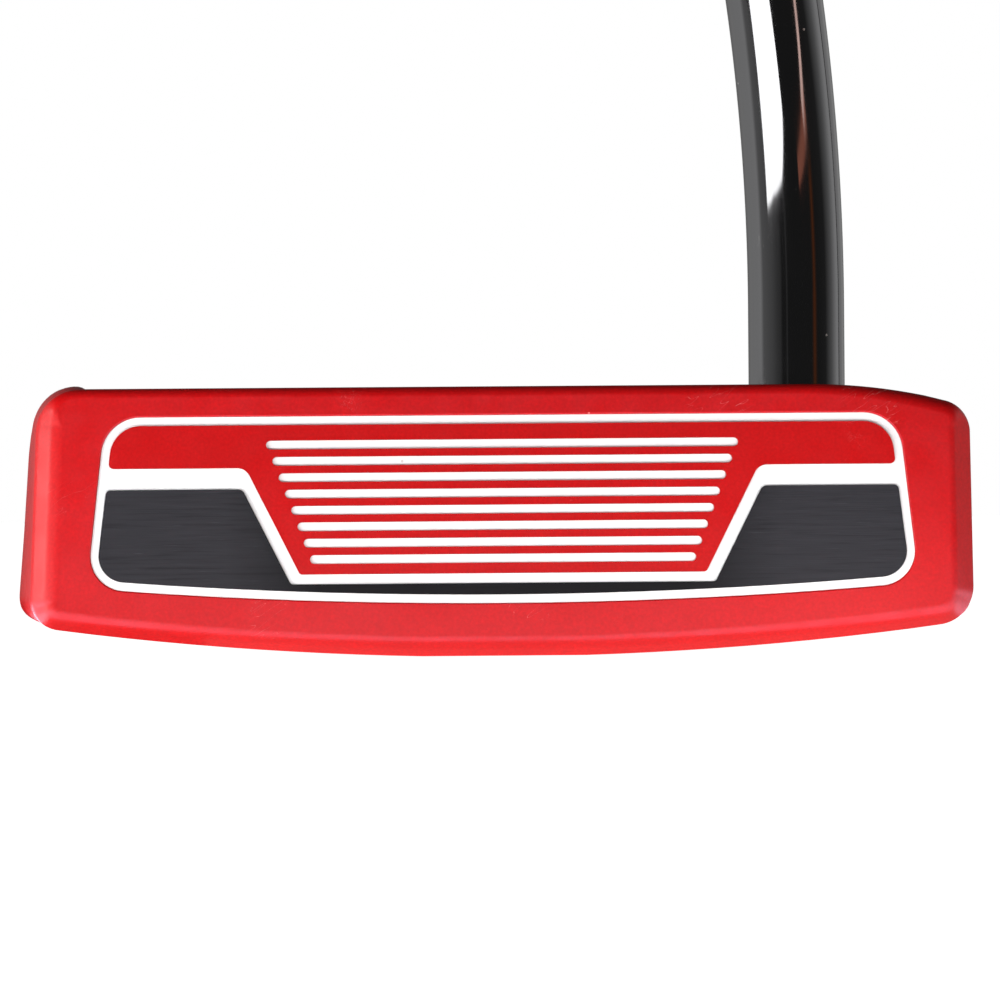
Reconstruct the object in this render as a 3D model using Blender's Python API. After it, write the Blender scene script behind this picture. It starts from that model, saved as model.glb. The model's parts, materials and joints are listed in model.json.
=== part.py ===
"""Mallet putter: a cast head with a layered face insert, a double-bend shaft and a pistol grip.

Frame: metres, +Z up. The face looks along -Y, the toe is at -X and the heel at +X, so it is a
right-handed club at address. The origin is on the flat middle strip of the sole, under the
head's balance point. Depths into the head are counted from the foot of the face, along +Y.
"""
import math

import bmesh
import bpy
from mathutils import Matrix, Vector

# ---- clearances -----------------------------------------------------------------------------
GAP = 0.0003                # between pieces that touch
FIT = 0.00012               # between an inlay and its slot
JOIN = 0.001                # overlap of shapes that a union joins

# ---- head -----------------------------------------------------------------------------------
FACE_Y = -0.030             # foot of the face
LOFT = math.radians(3.0)    # lean of the face, top away from the ball
BLOCK_DEPTH = 0.0105
BLOCK_LIFT = 0.00005        # the block's sole is this much above the deck's flat foot
HEAD_HALF_WIDTH = 0.0459    # at SIDE_HEIGHT
SIDE_HEIGHT = 0.010
SIDE_SLOPE = {"toe": math.tan(math.radians(2.4)), "heel": math.tan(math.radians(0.7))}
SIDE_FLARE = 0.9            # growth of the half width for each metre of depth, per half width
SOLE_RADIUS = 0.325         # camber from toe to heel
SOLE_FLAT = 0.008           # half width of its flat strip
SOLE_CORNER = {"toe": 0.0031, "heel": 0.0038}
CROWN_HEIGHT = 0.0263
CROWN_FLAT = {"toe": 0.0400, "heel": 0.030}  # reach of the level part of the crown
CROWN_FALL_RADIUS = 0.054
CROWN_CORNER = {"toe": 0.0042, "heel": 0.0032}
EDGE_ROUND = 0.0024         # round along the face's sides and foot
CROWN_EDGE_ROUND = 0.0007   # round along the face's top
EDGE_TURN = (0.2, 0.95)     # upward lean of the edge over which one round becomes the other
BACK_CHAMFER = 0.0006

RAIL_START = 0.0045         # depth at which the side rails begin, inside the block
RAIL_WIDEST = 0.040         # depth at which they are widest
HEAD_DEPTH = 0.076
RAIL_TUCK = 0.00025         # rail's outer face inside the block's side
RAIL_HALF_WIDTH = 0.0479
RAIL_SQUARENESS = 2.5       # exponent of the rear curve
RAIL_THICKNESS = 0.0050
RAIL_CREST = {"toe": 0.0269, "heel": 0.0252}
RAIL_CREST_AT_BLOCK = 0.0240
CREST_RISE = (BLOCK_DEPTH - 0.004, BLOCK_DEPTH + 0.010)  # depths between which the rails rise
CREST_FALL = 0.030          # depth from which they fall towards the rear
REAR_CREST = 0.0125
REAR_SOLE_LIFT = 0.0015
LIFT_START = 0.048          # depth from which the sole lifts
RAIL_ROUND = 0.0022
RAIL_SHOULDER = 0.0036      # round of the rails' outer top edge
RAIL_FOOT_ROUND = 0.0012
RAIL_LEAN = 0.0010          # how far the rails' outer face leans in at the top
LEAN_RISE = (0.0175, 0.0260)  # heights between which it leans
RAIL_STATIONS = 15          # along each quarter
SIDE_START = (0.2, 1.0)     # share of a rear quarter over which the bridge takes the sides' slope

DECK_HALF_WIDTH = 0.011
DECK_TOP = 0.0045
DECK_END = 0.0735
DECK_ROUND = 0.0008

WEIGHT_X = 0.0335
WEIGHT_DEPTH = 0.0230
WEIGHT_HEAD_RADIUS = 0.0072
WEIGHT_HEAD_HEIGHT = 0.003
WEIGHT_STEM_RADIUS = 0.0046
WEIGHT_STEM_HEIGHT = 0.0055
WEIGHT_SINK = 0.0003        # weight's face inside the sole
SOCKET_RADIUS = 0.0023
SOCKET_DEPTH = 0.0026
WEIGHT_CHAMFER = 0.0005
SEAL_MINOR = 0.00045
SEAL_MAJOR = 0.0060
PAD_INNER, PAD_OUTER = 0.0245, 0.0445
PAD_REAR = 0.0325
PAD_TOP = 0.0124
PAD_CORNER = 0.0070
PAD_ROUND = 0.0010

# ---- face insert, in the face's own plane: x towards the heel, z up the face ---------------
INSERT_DEPTH = 0.0038
FILM_THICKNESS = 0.0003
FILM_MARGIN = 0.0008        # film's edge inside the insert's
CORE_BACK = 0.0020          # thickness of the white core's base
PLATE_THICKNESS = 0.00105
RIB_SINK = 0.00025          # ribs below the plates' front
INSERT_FIT = 0.00010

OUTLINE_TOP = 0.0236
OUTLINE_FOOT = 0.0052       # at the middle
OUTLINE_FOOT_RADIUS = 0.480
OUTLINE_HALF_WIDTH = 0.0391  # at OUTLINE_HEIGHT
OUTLINE_HEIGHT = 0.0201
OUTLINE_SLOPE = 0.112
OUTLINE_BAND = 0.00085
OUTLINE_TOP_CORNER = 0.0039
OUTLINE_FOOT_CORNER = 0.0034

BAND_LOW, BAND_HIGH = 0.0165, 0.01855
DIAGONAL_SLOPE = 0.5        # sideways run for each unit of height
DIAGONAL_X = 0.0247         # the dark side's edge at DIAGONAL_HEIGHT
DIAGONAL_HEIGHT = 0.0152
DIAGONAL_WIDTH = 0.00134    # measured sideways
TRAY_LOW, TRAY_HIGH = 0.0072, 0.00813
FIELD_CORNER = 0.0005
BAND_CORNER = 0.0013

LINE_COUNT = 8
LINE_TOP = 0.0208
LINE_PITCH = 0.0016
LINE_THICKNESS = 0.00083
LINE_HALF_LENGTH = 0.0230
LINE_SHORTER = 0.0006       # each line than the one above it

# ---- deck plate and sight lines ------------------------------------------------------------
PLATE_X = 0.0088
PLATE_FRONT, PLATE_REAR = 0.0135, 0.0665
PLATE_CORNER = 0.0020
DECK_PLATE_THICKNESS = 0.0010
SIGHT_SINK = 0.0001         # top of the lines below the plate's
SIGHT_FRONT, SIGHT_REAR = 0.0175, 0.0625
SIGHT_LINES = {"sight_line_toe": (-0.0058, 0.0009), "sight_line_centre": (0.0, 0.0018),
               "sight_line_heel": (0.0058, 0.0009)}  # name: (x, width)

# ---- shaft ---------------------------------------------------------------------------------
CLUB_LENGTH = 0.8636        # 34 in along the shaft, from the ground to the end of the cap
LIE = math.radians(71.0)
SHAFT_X = 0.0294
SHAFT_DEPTH = 0.0118        # its centre behind the foot of the face
TIP_RADIUS = 0.00475
BUTT_RADIUS = 0.00735
SHAFT_WALL = 0.00055
SHAFT_SIDES = 20
SHAFT_FOOT = 0.0066
BEND_START = 0.034
LOWER_BEND = 0.034          # length of the lower bend
UPPER_BEND = 0.026
TOEWARD = math.radians(9.7)  # lean between the bends
FORWARD = math.radians(22.0)
BEND_RINGS = 9
STEP_COUNT = 9
STEP_PITCH = 0.0445
FIRST_STEP = 0.080          # from the butt
STEP_LENGTH = 0.0015
BORE_MOUTH_RADIUS = TIP_RADIUS + GAP
BORE_POCKET_RADIUS = 0.0056
BORE_MOUTH_FOOT = 0.0223
BOND_INNER, BOND_OUTER = TIP_RADIUS + GAP, BORE_POCKET_RADIUS - GAP
BOND_LENGTH = 0.0150
PLUG_LENGTH = 0.007
PLUG_CHAMFER = 0.0004
BOSS_RADIUS = 0.0071
BOSS_TOP = 0.0259
BOSS_CHAMFER = 0.0007

# ---- grip, measured down from the butt -----------------------------------------------------
GRIP_LENGTH = 0.268
CAP_THICKNESS = 0.003
SHAFT_TOP = 0.007           # shaft's end below the club's end
TAPE_TOP = 0.0078
TAPE_CLEARANCE = 0.00035
TAPE_THICKNESS = 0.0003
GRIP_TAPER = 0.0046         # narrowing of the bore for each metre
GRIP_SIDES = 28
# distance from the butt, half width, reach to the flat front, reach to the back
GRIP_STATIONS = ((CAP_THICKNESS + GAP, 0.0118, 0.0110, 0.0148), (0.020, 0.0121, 0.0111, 0.0160),
                 (0.045, 0.0119, 0.0109, 0.0160), (0.075, 0.0114, 0.0105, 0.0138),
                 (0.105, 0.0110, 0.0101, 0.0122), (0.150, 0.0105, 0.0098, 0.0112),
                 (0.200, 0.0100, 0.0094, 0.0103), (0.250, 0.0095, 0.0090, 0.0096),
                 (0.264, 0.0093, 0.0088, 0.0093), (GRIP_LENGTH, 0.0086, 0.0083, 0.0086))
FLAT_EXPONENT = 3.6
ROUND_EXPONENT = 2.2
CAP_MARGIN = 0.0006
CAP_STEM_RADIUS = 0.0068
CAP_STEM = 0.0034
VENT_RADIUS = 0.0012
BAND_TOP, BAND_FOOT = 0.309, 0.339
BAND_FILM = 0.00015

ARC_STEPS = 5
SHARP_ANGLE = math.radians(32)
SIDES = {"toe": -1, "heel": 1}
RED = (0.60, 0.012, 0.016)
BLACK = (0.035, 0.038, 0.043)
WHITE = (0.86, 0.86, 0.84)


# ---- helpers -------------------------------------------------------------------------------
def clear_scene():
    for item in list(bpy.data.objects):
        bpy.data.objects.remove(item, do_unlink=True)


def make_material(name, colour, roughness, metallic=0.0):
    material = bpy.data.materials.new(name)
    material.use_nodes = True
    shader = material.node_tree.nodes["Principled BSDF"]
    shader.inputs["Base Color"].default_value = (*colour, 1.0)
    shader.inputs["Roughness"].default_value = roughness
    shader.inputs["Metallic"].default_value = metallic
    return material


def add_object(name, bm, material=None, parent=None):
    """A mesh object from a bmesh; without a material it is a cutter or a shape to be joined."""
    bmesh.ops.recalc_face_normals(bm, faces=bm.faces)
    mesh = bpy.data.meshes.new(name)
    bm.to_mesh(mesh)
    bm.free()
    mesh.shade_smooth()
    mesh.set_sharp_from_angle(angle=SHARP_ANGLE)
    item = bpy.data.objects.new(name, mesh)
    bpy.context.scene.collection.objects.link(item)
    item.parent = parent
    if material:
        mesh.materials.append(material)
    else:
        item.hide_render = True
        item.display_type = "WIRE"
    return item


def add_empty(name, location, rotation):
    empty = bpy.data.objects.new(name, None)
    bpy.context.scene.collection.objects.link(empty)
    empty.location = location
    empty.rotation_euler = rotation
    return empty


def boolean(target, tool, operation):
    modifier = target.modifiers.new(tool.name, "BOOLEAN")
    modifier.operation = operation
    modifier.object = tool


def loft(bm, rings, closed=False):
    """Skin rings of equal length; the ends are capped unless the last ring meets the first."""
    rows = [[bm.verts.new(point) for point in ring] for ring in rings]
    following = rows[1:] + rows[:1] if closed else rows[1:]
    for row, after in zip(rows, following):
        for i, vert in enumerate(row):
            j = (i + 1) % len(row)
            bm.faces.new((vert, row[j], after[j], after[i]))
    if not closed:
        bm.faces.new(rows[0])
        bm.faces.new(rows[-1])


def circle(radius, z, sides=24, centre=(0.0, 0.0)):
    angles = [2 * math.pi * i / sides for i in range(sides)]
    return [(centre[0] + radius * math.cos(a), centre[1] + radius * math.sin(a), z) for a in angles]


def turned(profile, sides=24, centre=(0.0, 0.0), closed=False):
    """A round solid about a vertical axis, from (radius, z) pairs."""
    bm = bmesh.new()
    loft(bm, [circle(radius, z, sides, centre) for radius, z in profile], closed)
    return bm


def flat_solid(loops, front, back, plane="face"):
    """A plate between two levels, from an outer loop and its holes.

    In plane "face" the loops hold (x, z) and the levels are depths; in "deck" the loops hold
    (x, y) and the levels are heights.
    """
    bm = bmesh.new()
    edges = []
    for loop in loops:
        if plane == "face":
            verts = [bm.verts.new((x, front, z)) for x, z in loop]
        else:
            verts = [bm.verts.new((x, y, front)) for x, y in loop]
        edges += [bm.edges.new(pair) for pair in zip(verts, verts[1:] + verts[:1])]
    filled = bmesh.ops.triangle_fill(bm, use_beauty=True, edges=edges)
    faces = [item for item in filled["geom"] if isinstance(item, bmesh.types.BMFace)]
    grown = bmesh.ops.extrude_face_region(bm, geom=faces)
    moved = [item for item in grown["geom"] if isinstance(item, bmesh.types.BMVert)]
    shift = (0, back - front, 0) if plane == "face" else (0, 0, back - front)
    bmesh.ops.translate(bm, vec=shift, verts=moved)
    return bm


def inset_polygon(points, distance):
    """Move the edges of a counter-clockwise polygon inwards, with mitred corners."""
    result = []
    for i, point in enumerate(points):
        here = Vector(point)
        before = (here - Vector(points[i - 1])).normalized()
        after = (Vector(points[(i + 1) % len(points)]) - here).normalized()
        mitre = Vector((-before.y - after.y, before.x + after.x)).normalized()
        result.append(tuple(here + mitre * distance / mitre.dot((-before.y, before.x))))
    return result


def round_polygon(corners, inset=0.0, steps=ARC_STEPS):
    """Inset a counter-clockwise polygon of (x, y, corner radius) and round its corners."""
    points = inset_polygon([(x, y) for x, y, _ in corners], inset)
    result = []
    for i, (_, _, radius) in enumerate(corners):
        here = Vector(points[i])
        to_last = (Vector(points[i - 1]) - here).normalized()
        to_next = (Vector(points[(i + 1) % len(points)]) - here).normalized()
        convex = to_last.cross(to_next) < 0
        radius = radius - inset if convex else radius + inset
        if not corners[i][2] or radius <= 0:
            result.append(tuple(here))
            continue
        half = to_last.angle(to_next) / 2
        reach = radius / math.tan(half)
        centre = here + (to_last + to_next).normalized() * radius / math.sin(half)
        start = here + to_last * reach - centre
        turn = (math.pi - 2 * half) * (1 if convex else -1)
        for k in range(steps + 1):
            spoke = start.copy()
            spoke.rotate(Matrix.Rotation(turn * k / steps, 2))
            result.append(tuple(centre + spoke))
    return result


def stadium(centre, half_length, thickness, along_x=True, steps=5):
    """A bar with round ends."""
    radius = thickness / 2
    points = []
    for side in (1, -1):
        for k in range(steps + 1):
            angle = math.pi * (k / steps - 0.5)
            u = side * (half_length - radius + radius * math.cos(angle))
            v = side * radius * math.sin(angle)
            offset = (u, v) if along_x else (-v, u)
            points.append((centre[0] + offset[0], centre[1] + offset[1]))
    return points


def blend(value, low, high):
    """0 below low, 1 above high, and a smooth step between."""
    t = min(max((value - low) / (high - low), 0.0), 1.0)
    return t * t * (3 - 2 * t)


def mirrored(corners):
    """Complete a right-hand half outline of (x, y, ...) with its mirror image."""
    return corners + [(-c[0], *c[1:]) for c in reversed(corners) if abs(c[0]) > 1e-9]


# ---- head ----------------------------------------------------------------------------------
def sole_height(x):
    over = max(abs(x) - SOLE_FLAT, 0.0)
    return over * over / (2 * SOLE_RADIUS) + over * SOLE_FLAT / SOLE_RADIUS


def side_reach(side, z):
    return (SIDE_HEIGHT - z) * SIDE_SLOPE[side]


def crown_height(side, reach):
    over = max(reach - CROWN_FLAT[side], 0.0)
    return CROWN_HEIGHT - over * over / (2 * CROWN_FALL_RADIUS)


def half_outline(side):
    """One end of the face block in front view, from the sole to the crown, as if at the heel."""
    sole_x = HEAD_HALF_WIDTH + side_reach(side, sole_height(HEAD_HALF_WIDTH))
    crown_x = HEAD_HALF_WIDTH + side_reach(side, crown_height(side, HEAD_HALF_WIDTH))
    half = [(SOLE_FLAT * k, sole_height(SOLE_FLAT * k), 0.0) for k in (1, 2, 3, 4, 5)]
    half.append((sole_x, sole_height(sole_x), SOLE_CORNER[side]))
    half.append((crown_x, crown_height(side, crown_x), CROWN_CORNER[side]))
    level = CROWN_FLAT[side]
    fall = (crown_x - CROWN_CORNER[side] - level) / 4
    return half + [(level + fall * k, crown_height(side, level + fall * k), 0.0) for k in (3, 2, 1, 0)]


def block_outline():
    """Front view of the face block, counter-clockwise from the middle of the sole."""
    toe = [(-x, z, radius) for x, z, radius in reversed(half_outline("toe"))]
    return round_polygon(half_outline("heel") + toe, steps=6)


def face_block():
    """The block behind the face: round front edges, a small chamfer at the back."""
    outline = block_outline()
    count = len(outline)
    normals = []
    for i in range(count):
        along = Vector(outline[(i + 1) % count]) - Vector(outline[i - 1])
        normals.append(Vector((along.y, -along.x)).normalized())
    rounds = [EDGE_ROUND + (CROWN_EDGE_ROUND - EDGE_ROUND) * blend(n.y, *EDGE_TURN) for n in normals]

    def ring(inset_and_depth):
        points = []
        for (x, z), normal, radius in zip(outline, normals, rounds):
            inset, depth = inset_and_depth(radius)
            x -= normal.x * inset
            z -= normal.y * inset
            x *= 1 + SIDE_FLARE * depth
            points.append((x, FACE_Y + depth + z * math.tan(LOFT), z + BLOCK_LIFT))
        return points

    quarter = [math.pi / 2 * k / 5 for k in range(6)]
    rings = [ring(lambda r, a=a: (r * (1 - math.sin(a)), r * (1 - math.cos(a)))) for a in quarter]
    rings.append(ring(lambda r: (0.0, BLOCK_DEPTH - BACK_CHAMFER)))
    rings.append(ring(lambda r: (BACK_CHAMFER, BLOCK_DEPTH)))
    bm = bmesh.new()
    loft(bm, rings)
    return bm


def rail_outline(u):
    """Plan of the rails' outer edge: u runs from -2 (toe, at the block) to 2 (heel)."""
    side = -1 if u < 0 else 1
    u = abs(u)
    if u > 1:
        depth = RAIL_WIDEST + (RAIL_START - RAIL_WIDEST) * (u - 1)
        start = HEAD_HALF_WIDTH * (1 + SIDE_FLARE * RAIL_START) - RAIL_TUCK
        rise = math.sin(math.pi / 2 * (depth - RAIL_START) / (RAIL_WIDEST - RAIL_START))
        return Vector((side * (start + (RAIL_HALF_WIDTH - start) * rise), depth))
    angle = math.pi / 2 * u
    power = 2 / RAIL_SQUARENESS
    x = RAIL_HALF_WIDTH * math.sin(angle) ** power
    depth = RAIL_WIDEST + (HEAD_DEPTH - RAIL_WIDEST) * max(math.cos(angle), 0.0) ** power
    return Vector((side * x, depth))


def rail_crest(side, depth):
    rise = blend(depth, *CREST_RISE)
    fall = blend(depth, CREST_FALL, HEAD_DEPTH)
    high = RAIL_CREST_AT_BLOCK + (RAIL_CREST[side] - RAIL_CREST_AT_BLOCK) * rise
    return high + (REAR_CREST - high) * fall


def rails():
    """The two side rails and the rear bridge, as one bar swept round the head."""
    stations = [i / RAIL_STATIONS for i in range(-2 * RAIL_STATIONS, 2 * RAIL_STATIONS + 1)]
    rings = []
    for u in stations:
        here = rail_outline(u)
        along = rail_outline(min(u + 0.01, 2)) - rail_outline(max(u - 0.01, -2))
        outward = Vector((-along.y, along.x)).normalized()
        low = sole_height(here.x) + 2 * BLOCK_LIFT + rear_lift(here.y)
        side = "toe" if u < 0 else "heel"
        high = rail_crest(side, here.y)
        section = round_polygon([(-RAIL_THICKNESS, low, RAIL_FOOT_ROUND), (0.0, low, RAIL_ROUND),
                                 (0.0, high, RAIL_SHOULDER), (-RAIL_THICKNESS, high, RAIL_FOOT_ROUND)],
                                steps=4)
        sideness = blend(abs(u), *SIDE_START)
        ring = []
        for across, z in section:
            lean_in = RAIL_LEAN * blend(z, *LEAN_RISE)
            spot = here + outward * (across + (side_reach(side, z) - lean_in) * sideness)
            ring.append((spot.x, FACE_Y + spot.y, z))
        rings.append(ring)
    bm = bmesh.new()
    loft(bm, rings)
    return bm


def rear_lift(depth):
    return REAR_SOLE_LIFT * blend(depth, LIFT_START, HEAD_DEPTH)


def deck():
    """The low centre deck between the block and the rear bridge; its foot is the flat sole strip."""
    stations = [BLOCK_DEPTH - JOIN]
    stations += [LIFT_START + (DECK_END - LIFT_START) * k / 5 for k in range(6)]
    rings = []
    for depth in stations:
        half = [(DECK_HALF_WIDTH, rear_lift(depth), DECK_ROUND), (DECK_HALF_WIDTH, DECK_TOP, DECK_ROUND)]
        section = round_polygon(mirrored(half), steps=3)
        rings.append([(x, FACE_Y + depth, z) for x, z in section])
    bm = bmesh.new()
    loft(bm, rings)
    return bm


def weight_pad(name, side):
    """The pad that holds a sole weight, tied to the block and the rail."""
    width = PAD_OUTER - PAD_INNER
    foot = [(PAD_INNER + width * k / 4, sole_height(PAD_INNER + width * k / 4) + 2 * BLOCK_LIFT, 0.0)
            for k in range(5)]
    front = foot + [(PAD_OUTER, PAD_TOP, 0.0), (PAD_INNER, PAD_TOP, PAD_ROUND)]
    front_y, rear_y = FACE_Y + BLOCK_DEPTH - JOIN, FACE_Y + PAD_REAR
    plan = [(PAD_INNER, front_y - JOIN, 0.0), (PAD_OUTER + JOIN, front_y - JOIN, 0.0),
            (PAD_OUTER + JOIN, rear_y, 0.0), (PAD_INNER, rear_y, PAD_CORNER)]
    if side < 0:
        front = [(-c[0], *c[1:]) for c in reversed(front)]
        plan = [(-c[0], *c[1:]) for c in reversed(plan)]
    pad = add_object(f"join_{name}_pad", flat_solid([round_polygon(front)], front_y, rear_y + JOIN))
    trim = flat_solid([round_polygon(plan)], -JOIN, PAD_TOP + JOIN, "deck")
    boolean(pad, add_object(f"trim_{name}_pad", trim), "INTERSECT")
    return pad


def weight_frame(side):
    """Where a weight's axis leaves the sole, and the sole's lean there."""
    x = side * WEIGHT_X
    return (x, FACE_Y + WEIGHT_DEPTH, sole_height(x)), (0.0, -x / SOLE_RADIUS, 0.0)


def weight_seat():
    """The pocket's shoulder, above the seal, counted up from the sole."""
    return WEIGHT_SINK + WEIGHT_HEAD_HEIGHT + 2 * SEAL_MINOR + GAP


def weight_pocket():
    stem_top = WEIGHT_SINK + WEIGHT_HEAD_HEIGHT + WEIGHT_STEM_HEIGHT + GAP
    profile = [(WEIGHT_HEAD_RADIUS + GAP, -JOIN), (WEIGHT_HEAD_RADIUS + GAP, weight_seat()),
               (WEIGHT_STEM_RADIUS + GAP, weight_seat()), (WEIGHT_STEM_RADIUS + GAP, stem_top)]
    return turned(profile, 28)


def shaft_bore():
    profile = [(BORE_POCKET_RADIUS, SHAFT_FOOT - GAP), (BORE_POCKET_RADIUS, BORE_MOUTH_FOOT),
               (BORE_MOUTH_RADIUS, BORE_MOUTH_FOOT + GAP), (BORE_MOUTH_RADIUS, CROWN_HEIGHT + 3 * JOIN)]
    return turned(profile, SHAFT_SIDES, (SHAFT_X, FACE_Y + SHAFT_DEPTH))


def shaft_boss():
    low = sole_height(SHAFT_X) + BOSS_CHAMFER
    profile = [(BOSS_RADIUS - BOSS_CHAMFER, low), (BOSS_RADIUS, low + BOSS_CHAMFER),
               (BOSS_RADIUS, BOSS_TOP - BOSS_CHAMFER), (BOSS_RADIUS - BOSS_CHAMFER, BOSS_TOP)]
    return turned(profile, 28, (SHAFT_X, FACE_Y + SHAFT_DEPTH))


def plate_outline(inset=0.0):
    half = [(PLATE_X, FACE_Y + PLATE_FRONT, PLATE_CORNER), (PLATE_X, FACE_Y + PLATE_REAR, PLATE_CORNER)]
    return round_polygon(mirrored(half), inset)


def make_head(material, face, weight_frames):
    head = add_object("head_body", face_block(), material)
    for name, bm in (("join_rails", rails()), ("join_deck", deck()), ("join_boss", shaft_boss())):
        boolean(head, add_object(name, bm), "UNION")
    for name, side in SIDES.items():
        boolean(head, weight_pad(name, side), "UNION")
    pocket = flat_solid([round_polygon(insert_outline())], -INSERT_DEPTH, INSERT_DEPTH)
    boolean(head, add_object("cut_insert", pocket, parent=face), "DIFFERENCE")
    boolean(head, add_object("cut_bore", shaft_bore()), "DIFFERENCE")
    floor = DECK_TOP - DECK_PLATE_THICKNESS - GAP
    recess = flat_solid([plate_outline()], floor, DECK_TOP + JOIN, "deck")
    boolean(head, add_object("cut_deck_plate", recess), "DIFFERENCE")
    for name, frame in weight_frames.items():
        pocket = add_object(f"cut_{name}_weight", weight_pocket(), parent=frame)
        boolean(head, pocket, "DIFFERENCE")


# ---- face insert ---------------------------------------------------------------------------
def outline_x(z):
    return OUTLINE_HALF_WIDTH + (OUTLINE_HEIGHT - z) * OUTLINE_SLOPE


def outline_foot(x):
    return OUTLINE_FOOT + x * x / (2 * OUTLINE_FOOT_RADIUS)


def foot_points(corner_x, rise=0.0):
    return [(corner_x * k / 5, outline_foot(corner_x * k / 5) + rise, 0.0) for k in range(5)]


def insert_outline():
    """The outer edge of the white outline."""
    corner_x = outline_x(outline_foot(outline_x(OUTLINE_FOOT)))
    return mirrored(foot_points(corner_x) + [(corner_x, outline_foot(corner_x), OUTLINE_FOOT_CORNER),
                                             (outline_x(OUTLINE_TOP), OUTLINE_TOP, OUTLINE_TOP_CORNER)])


def inner_x(z):
    return outline_x(z) - OUTLINE_BAND * math.hypot(1.0, OUTLINE_SLOPE)


def diagonal_x(z):
    return DIAGONAL_X + (z - DIAGONAL_HEIGHT) * DIAGONAL_SLOPE


def red_outline():
    """The field above the bands, with the tray that holds the lines."""
    top = OUTLINE_TOP - OUTLINE_BAND
    return mirrored([(diagonal_x(TRAY_HIGH) - DIAGONAL_WIDTH, TRAY_HIGH, FIELD_CORNER),
                     (diagonal_x(BAND_HIGH) - DIAGONAL_WIDTH, BAND_HIGH, BAND_CORNER),
                     (inner_x(BAND_HIGH), BAND_HIGH, FIELD_CORNER),
                     (inner_x(top), top, OUTLINE_TOP_CORNER - OUTLINE_BAND)])


def black_outline():
    """The two dark side panels and the strip that joins them under the tray."""
    corner_x = inner_x(outline_foot(inner_x(OUTLINE_FOOT)))
    return mirrored(foot_points(corner_x, OUTLINE_BAND)
                    + [(corner_x, outline_foot(corner_x) + OUTLINE_BAND, OUTLINE_FOOT_CORNER - OUTLINE_BAND),
                       (inner_x(BAND_LOW), BAND_LOW, FIELD_CORNER),
                       (diagonal_x(BAND_LOW), BAND_LOW, FIELD_CORNER),
                       (diagonal_x(TRAY_LOW), TRAY_LOW, FIELD_CORNER)])


def face_lines(grow=0.0):
    """The stacked lines, each shorter than the one above."""
    bars = []
    for k in range(LINE_COUNT):
        half = LINE_HALF_LENGTH - LINE_SHORTER * k + grow
        bars.append(stadium((0.0, LINE_TOP - LINE_PITCH * k), half, LINE_THICKNESS + 2 * grow))
    return bars


def make_insert(materials, face):
    base_front = PLATE_THICKNESS + FIT
    base_back = base_front + CORE_BACK
    block = flat_solid([round_polygon(insert_outline(), INSERT_FIT)], RIB_SINK, base_back)
    core = add_object("insert_core", block, materials["white"], face)
    fields = {"red": [round_polygon(red_outline())] + face_lines(), "black": [round_polygon(black_outline())]}
    for name, loops in fields.items():
        field = flat_solid(loops, RIB_SINK - JOIN, base_front)
        boolean(core, add_object(f"cut_{name}_field", field, parent=face), "DIFFERENCE")

    red = flat_solid([round_polygon(red_outline(), FIT)] + face_lines(FIT), 0.0, PLATE_THICKNESS)
    add_object("face_plate_red", red, materials["red"], face)
    black = flat_solid([round_polygon(black_outline(), FIT)], 0.0, PLATE_THICKNESS)
    add_object("face_plate_black", black, materials["brushed_black"], face)
    film_front = (base_back + INSERT_DEPTH - FILM_THICKNESS) / 2
    film = flat_solid([round_polygon(insert_outline(), FILM_MARGIN)], film_front, film_front + FILM_THICKNESS)
    add_object("insert_film", film, materials["film"], face)


# ---- deck inlays and sole weights ----------------------------------------------------------
def make_deck_inlays(materials):
    top = DECK_TOP
    foot = top - DECK_PLATE_THICKNESS
    middle = FACE_Y + (SIGHT_FRONT + SIGHT_REAR) / 2
    half = (SIGHT_REAR - SIGHT_FRONT) / 2
    slots = []
    for name, (x, width) in SIGHT_LINES.items():
        slots.append(stadium((x, middle), half + FIT, width + 2 * FIT, along_x=False))
        bar = flat_solid([stadium((x, middle), half, width, along_x=False)], foot, top - SIGHT_SINK,
                         "deck")
        add_object(name, bar, materials["white"])
    plate = flat_solid([plate_outline(FIT)] + slots, foot, top, "deck")
    add_object("deck_plate", plate, materials["brushed_black"])


def make_weights(materials, weight_frames):
    foot = WEIGHT_SINK
    shoulder = foot + WEIGHT_HEAD_HEIGHT
    top = shoulder + WEIGHT_STEM_HEIGHT
    profile = [(WEIGHT_HEAD_RADIUS - WEIGHT_CHAMFER, foot), (WEIGHT_HEAD_RADIUS, foot + WEIGHT_CHAMFER),
               (WEIGHT_HEAD_RADIUS, shoulder), (WEIGHT_STEM_RADIUS, shoulder),
               (WEIGHT_STEM_RADIUS, top - WEIGHT_CHAMFER), (WEIGHT_STEM_RADIUS - WEIGHT_CHAMFER, top)]
    middle = (shoulder + weight_seat()) / 2
    angles = [2 * math.pi * k / 8 for k in range(8)]
    ring = [(SEAL_MAJOR + SEAL_MINOR * math.cos(a), middle + SEAL_MINOR * math.sin(a)) for a in angles]
    for name, frame in weight_frames.items():
        weight = add_object(f"{name}_weight", turned(profile, 28), materials["steel"], frame)
        socket = turned([(SOCKET_RADIUS, foot - JOIN), (SOCKET_RADIUS, foot + SOCKET_DEPTH)], 6)
        boolean(weight, add_object(f"cut_{name}_socket", socket, parent=frame), "DIFFERENCE")
        add_object(f"{name}_weight_seal", turned(ring, 20, closed=True), materials["rubber"], frame)


# ---- shaft ---------------------------------------------------------------------------------
def shaft_radius(from_butt):
    """Outer radius: a parallel tip, then steps up to the butt."""
    growth = (BUTT_RADIUS - TIP_RADIUS) / STEP_COUNT
    climbed = sum(1 for k in range(STEP_COUNT) if from_butt < FIRST_STEP + STEP_PITCH * k)
    return TIP_RADIUS + growth * climbed


def lean(sideways, forward):
    return Vector((math.tan(sideways), -math.tan(forward), 1.0)).normalized()


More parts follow.
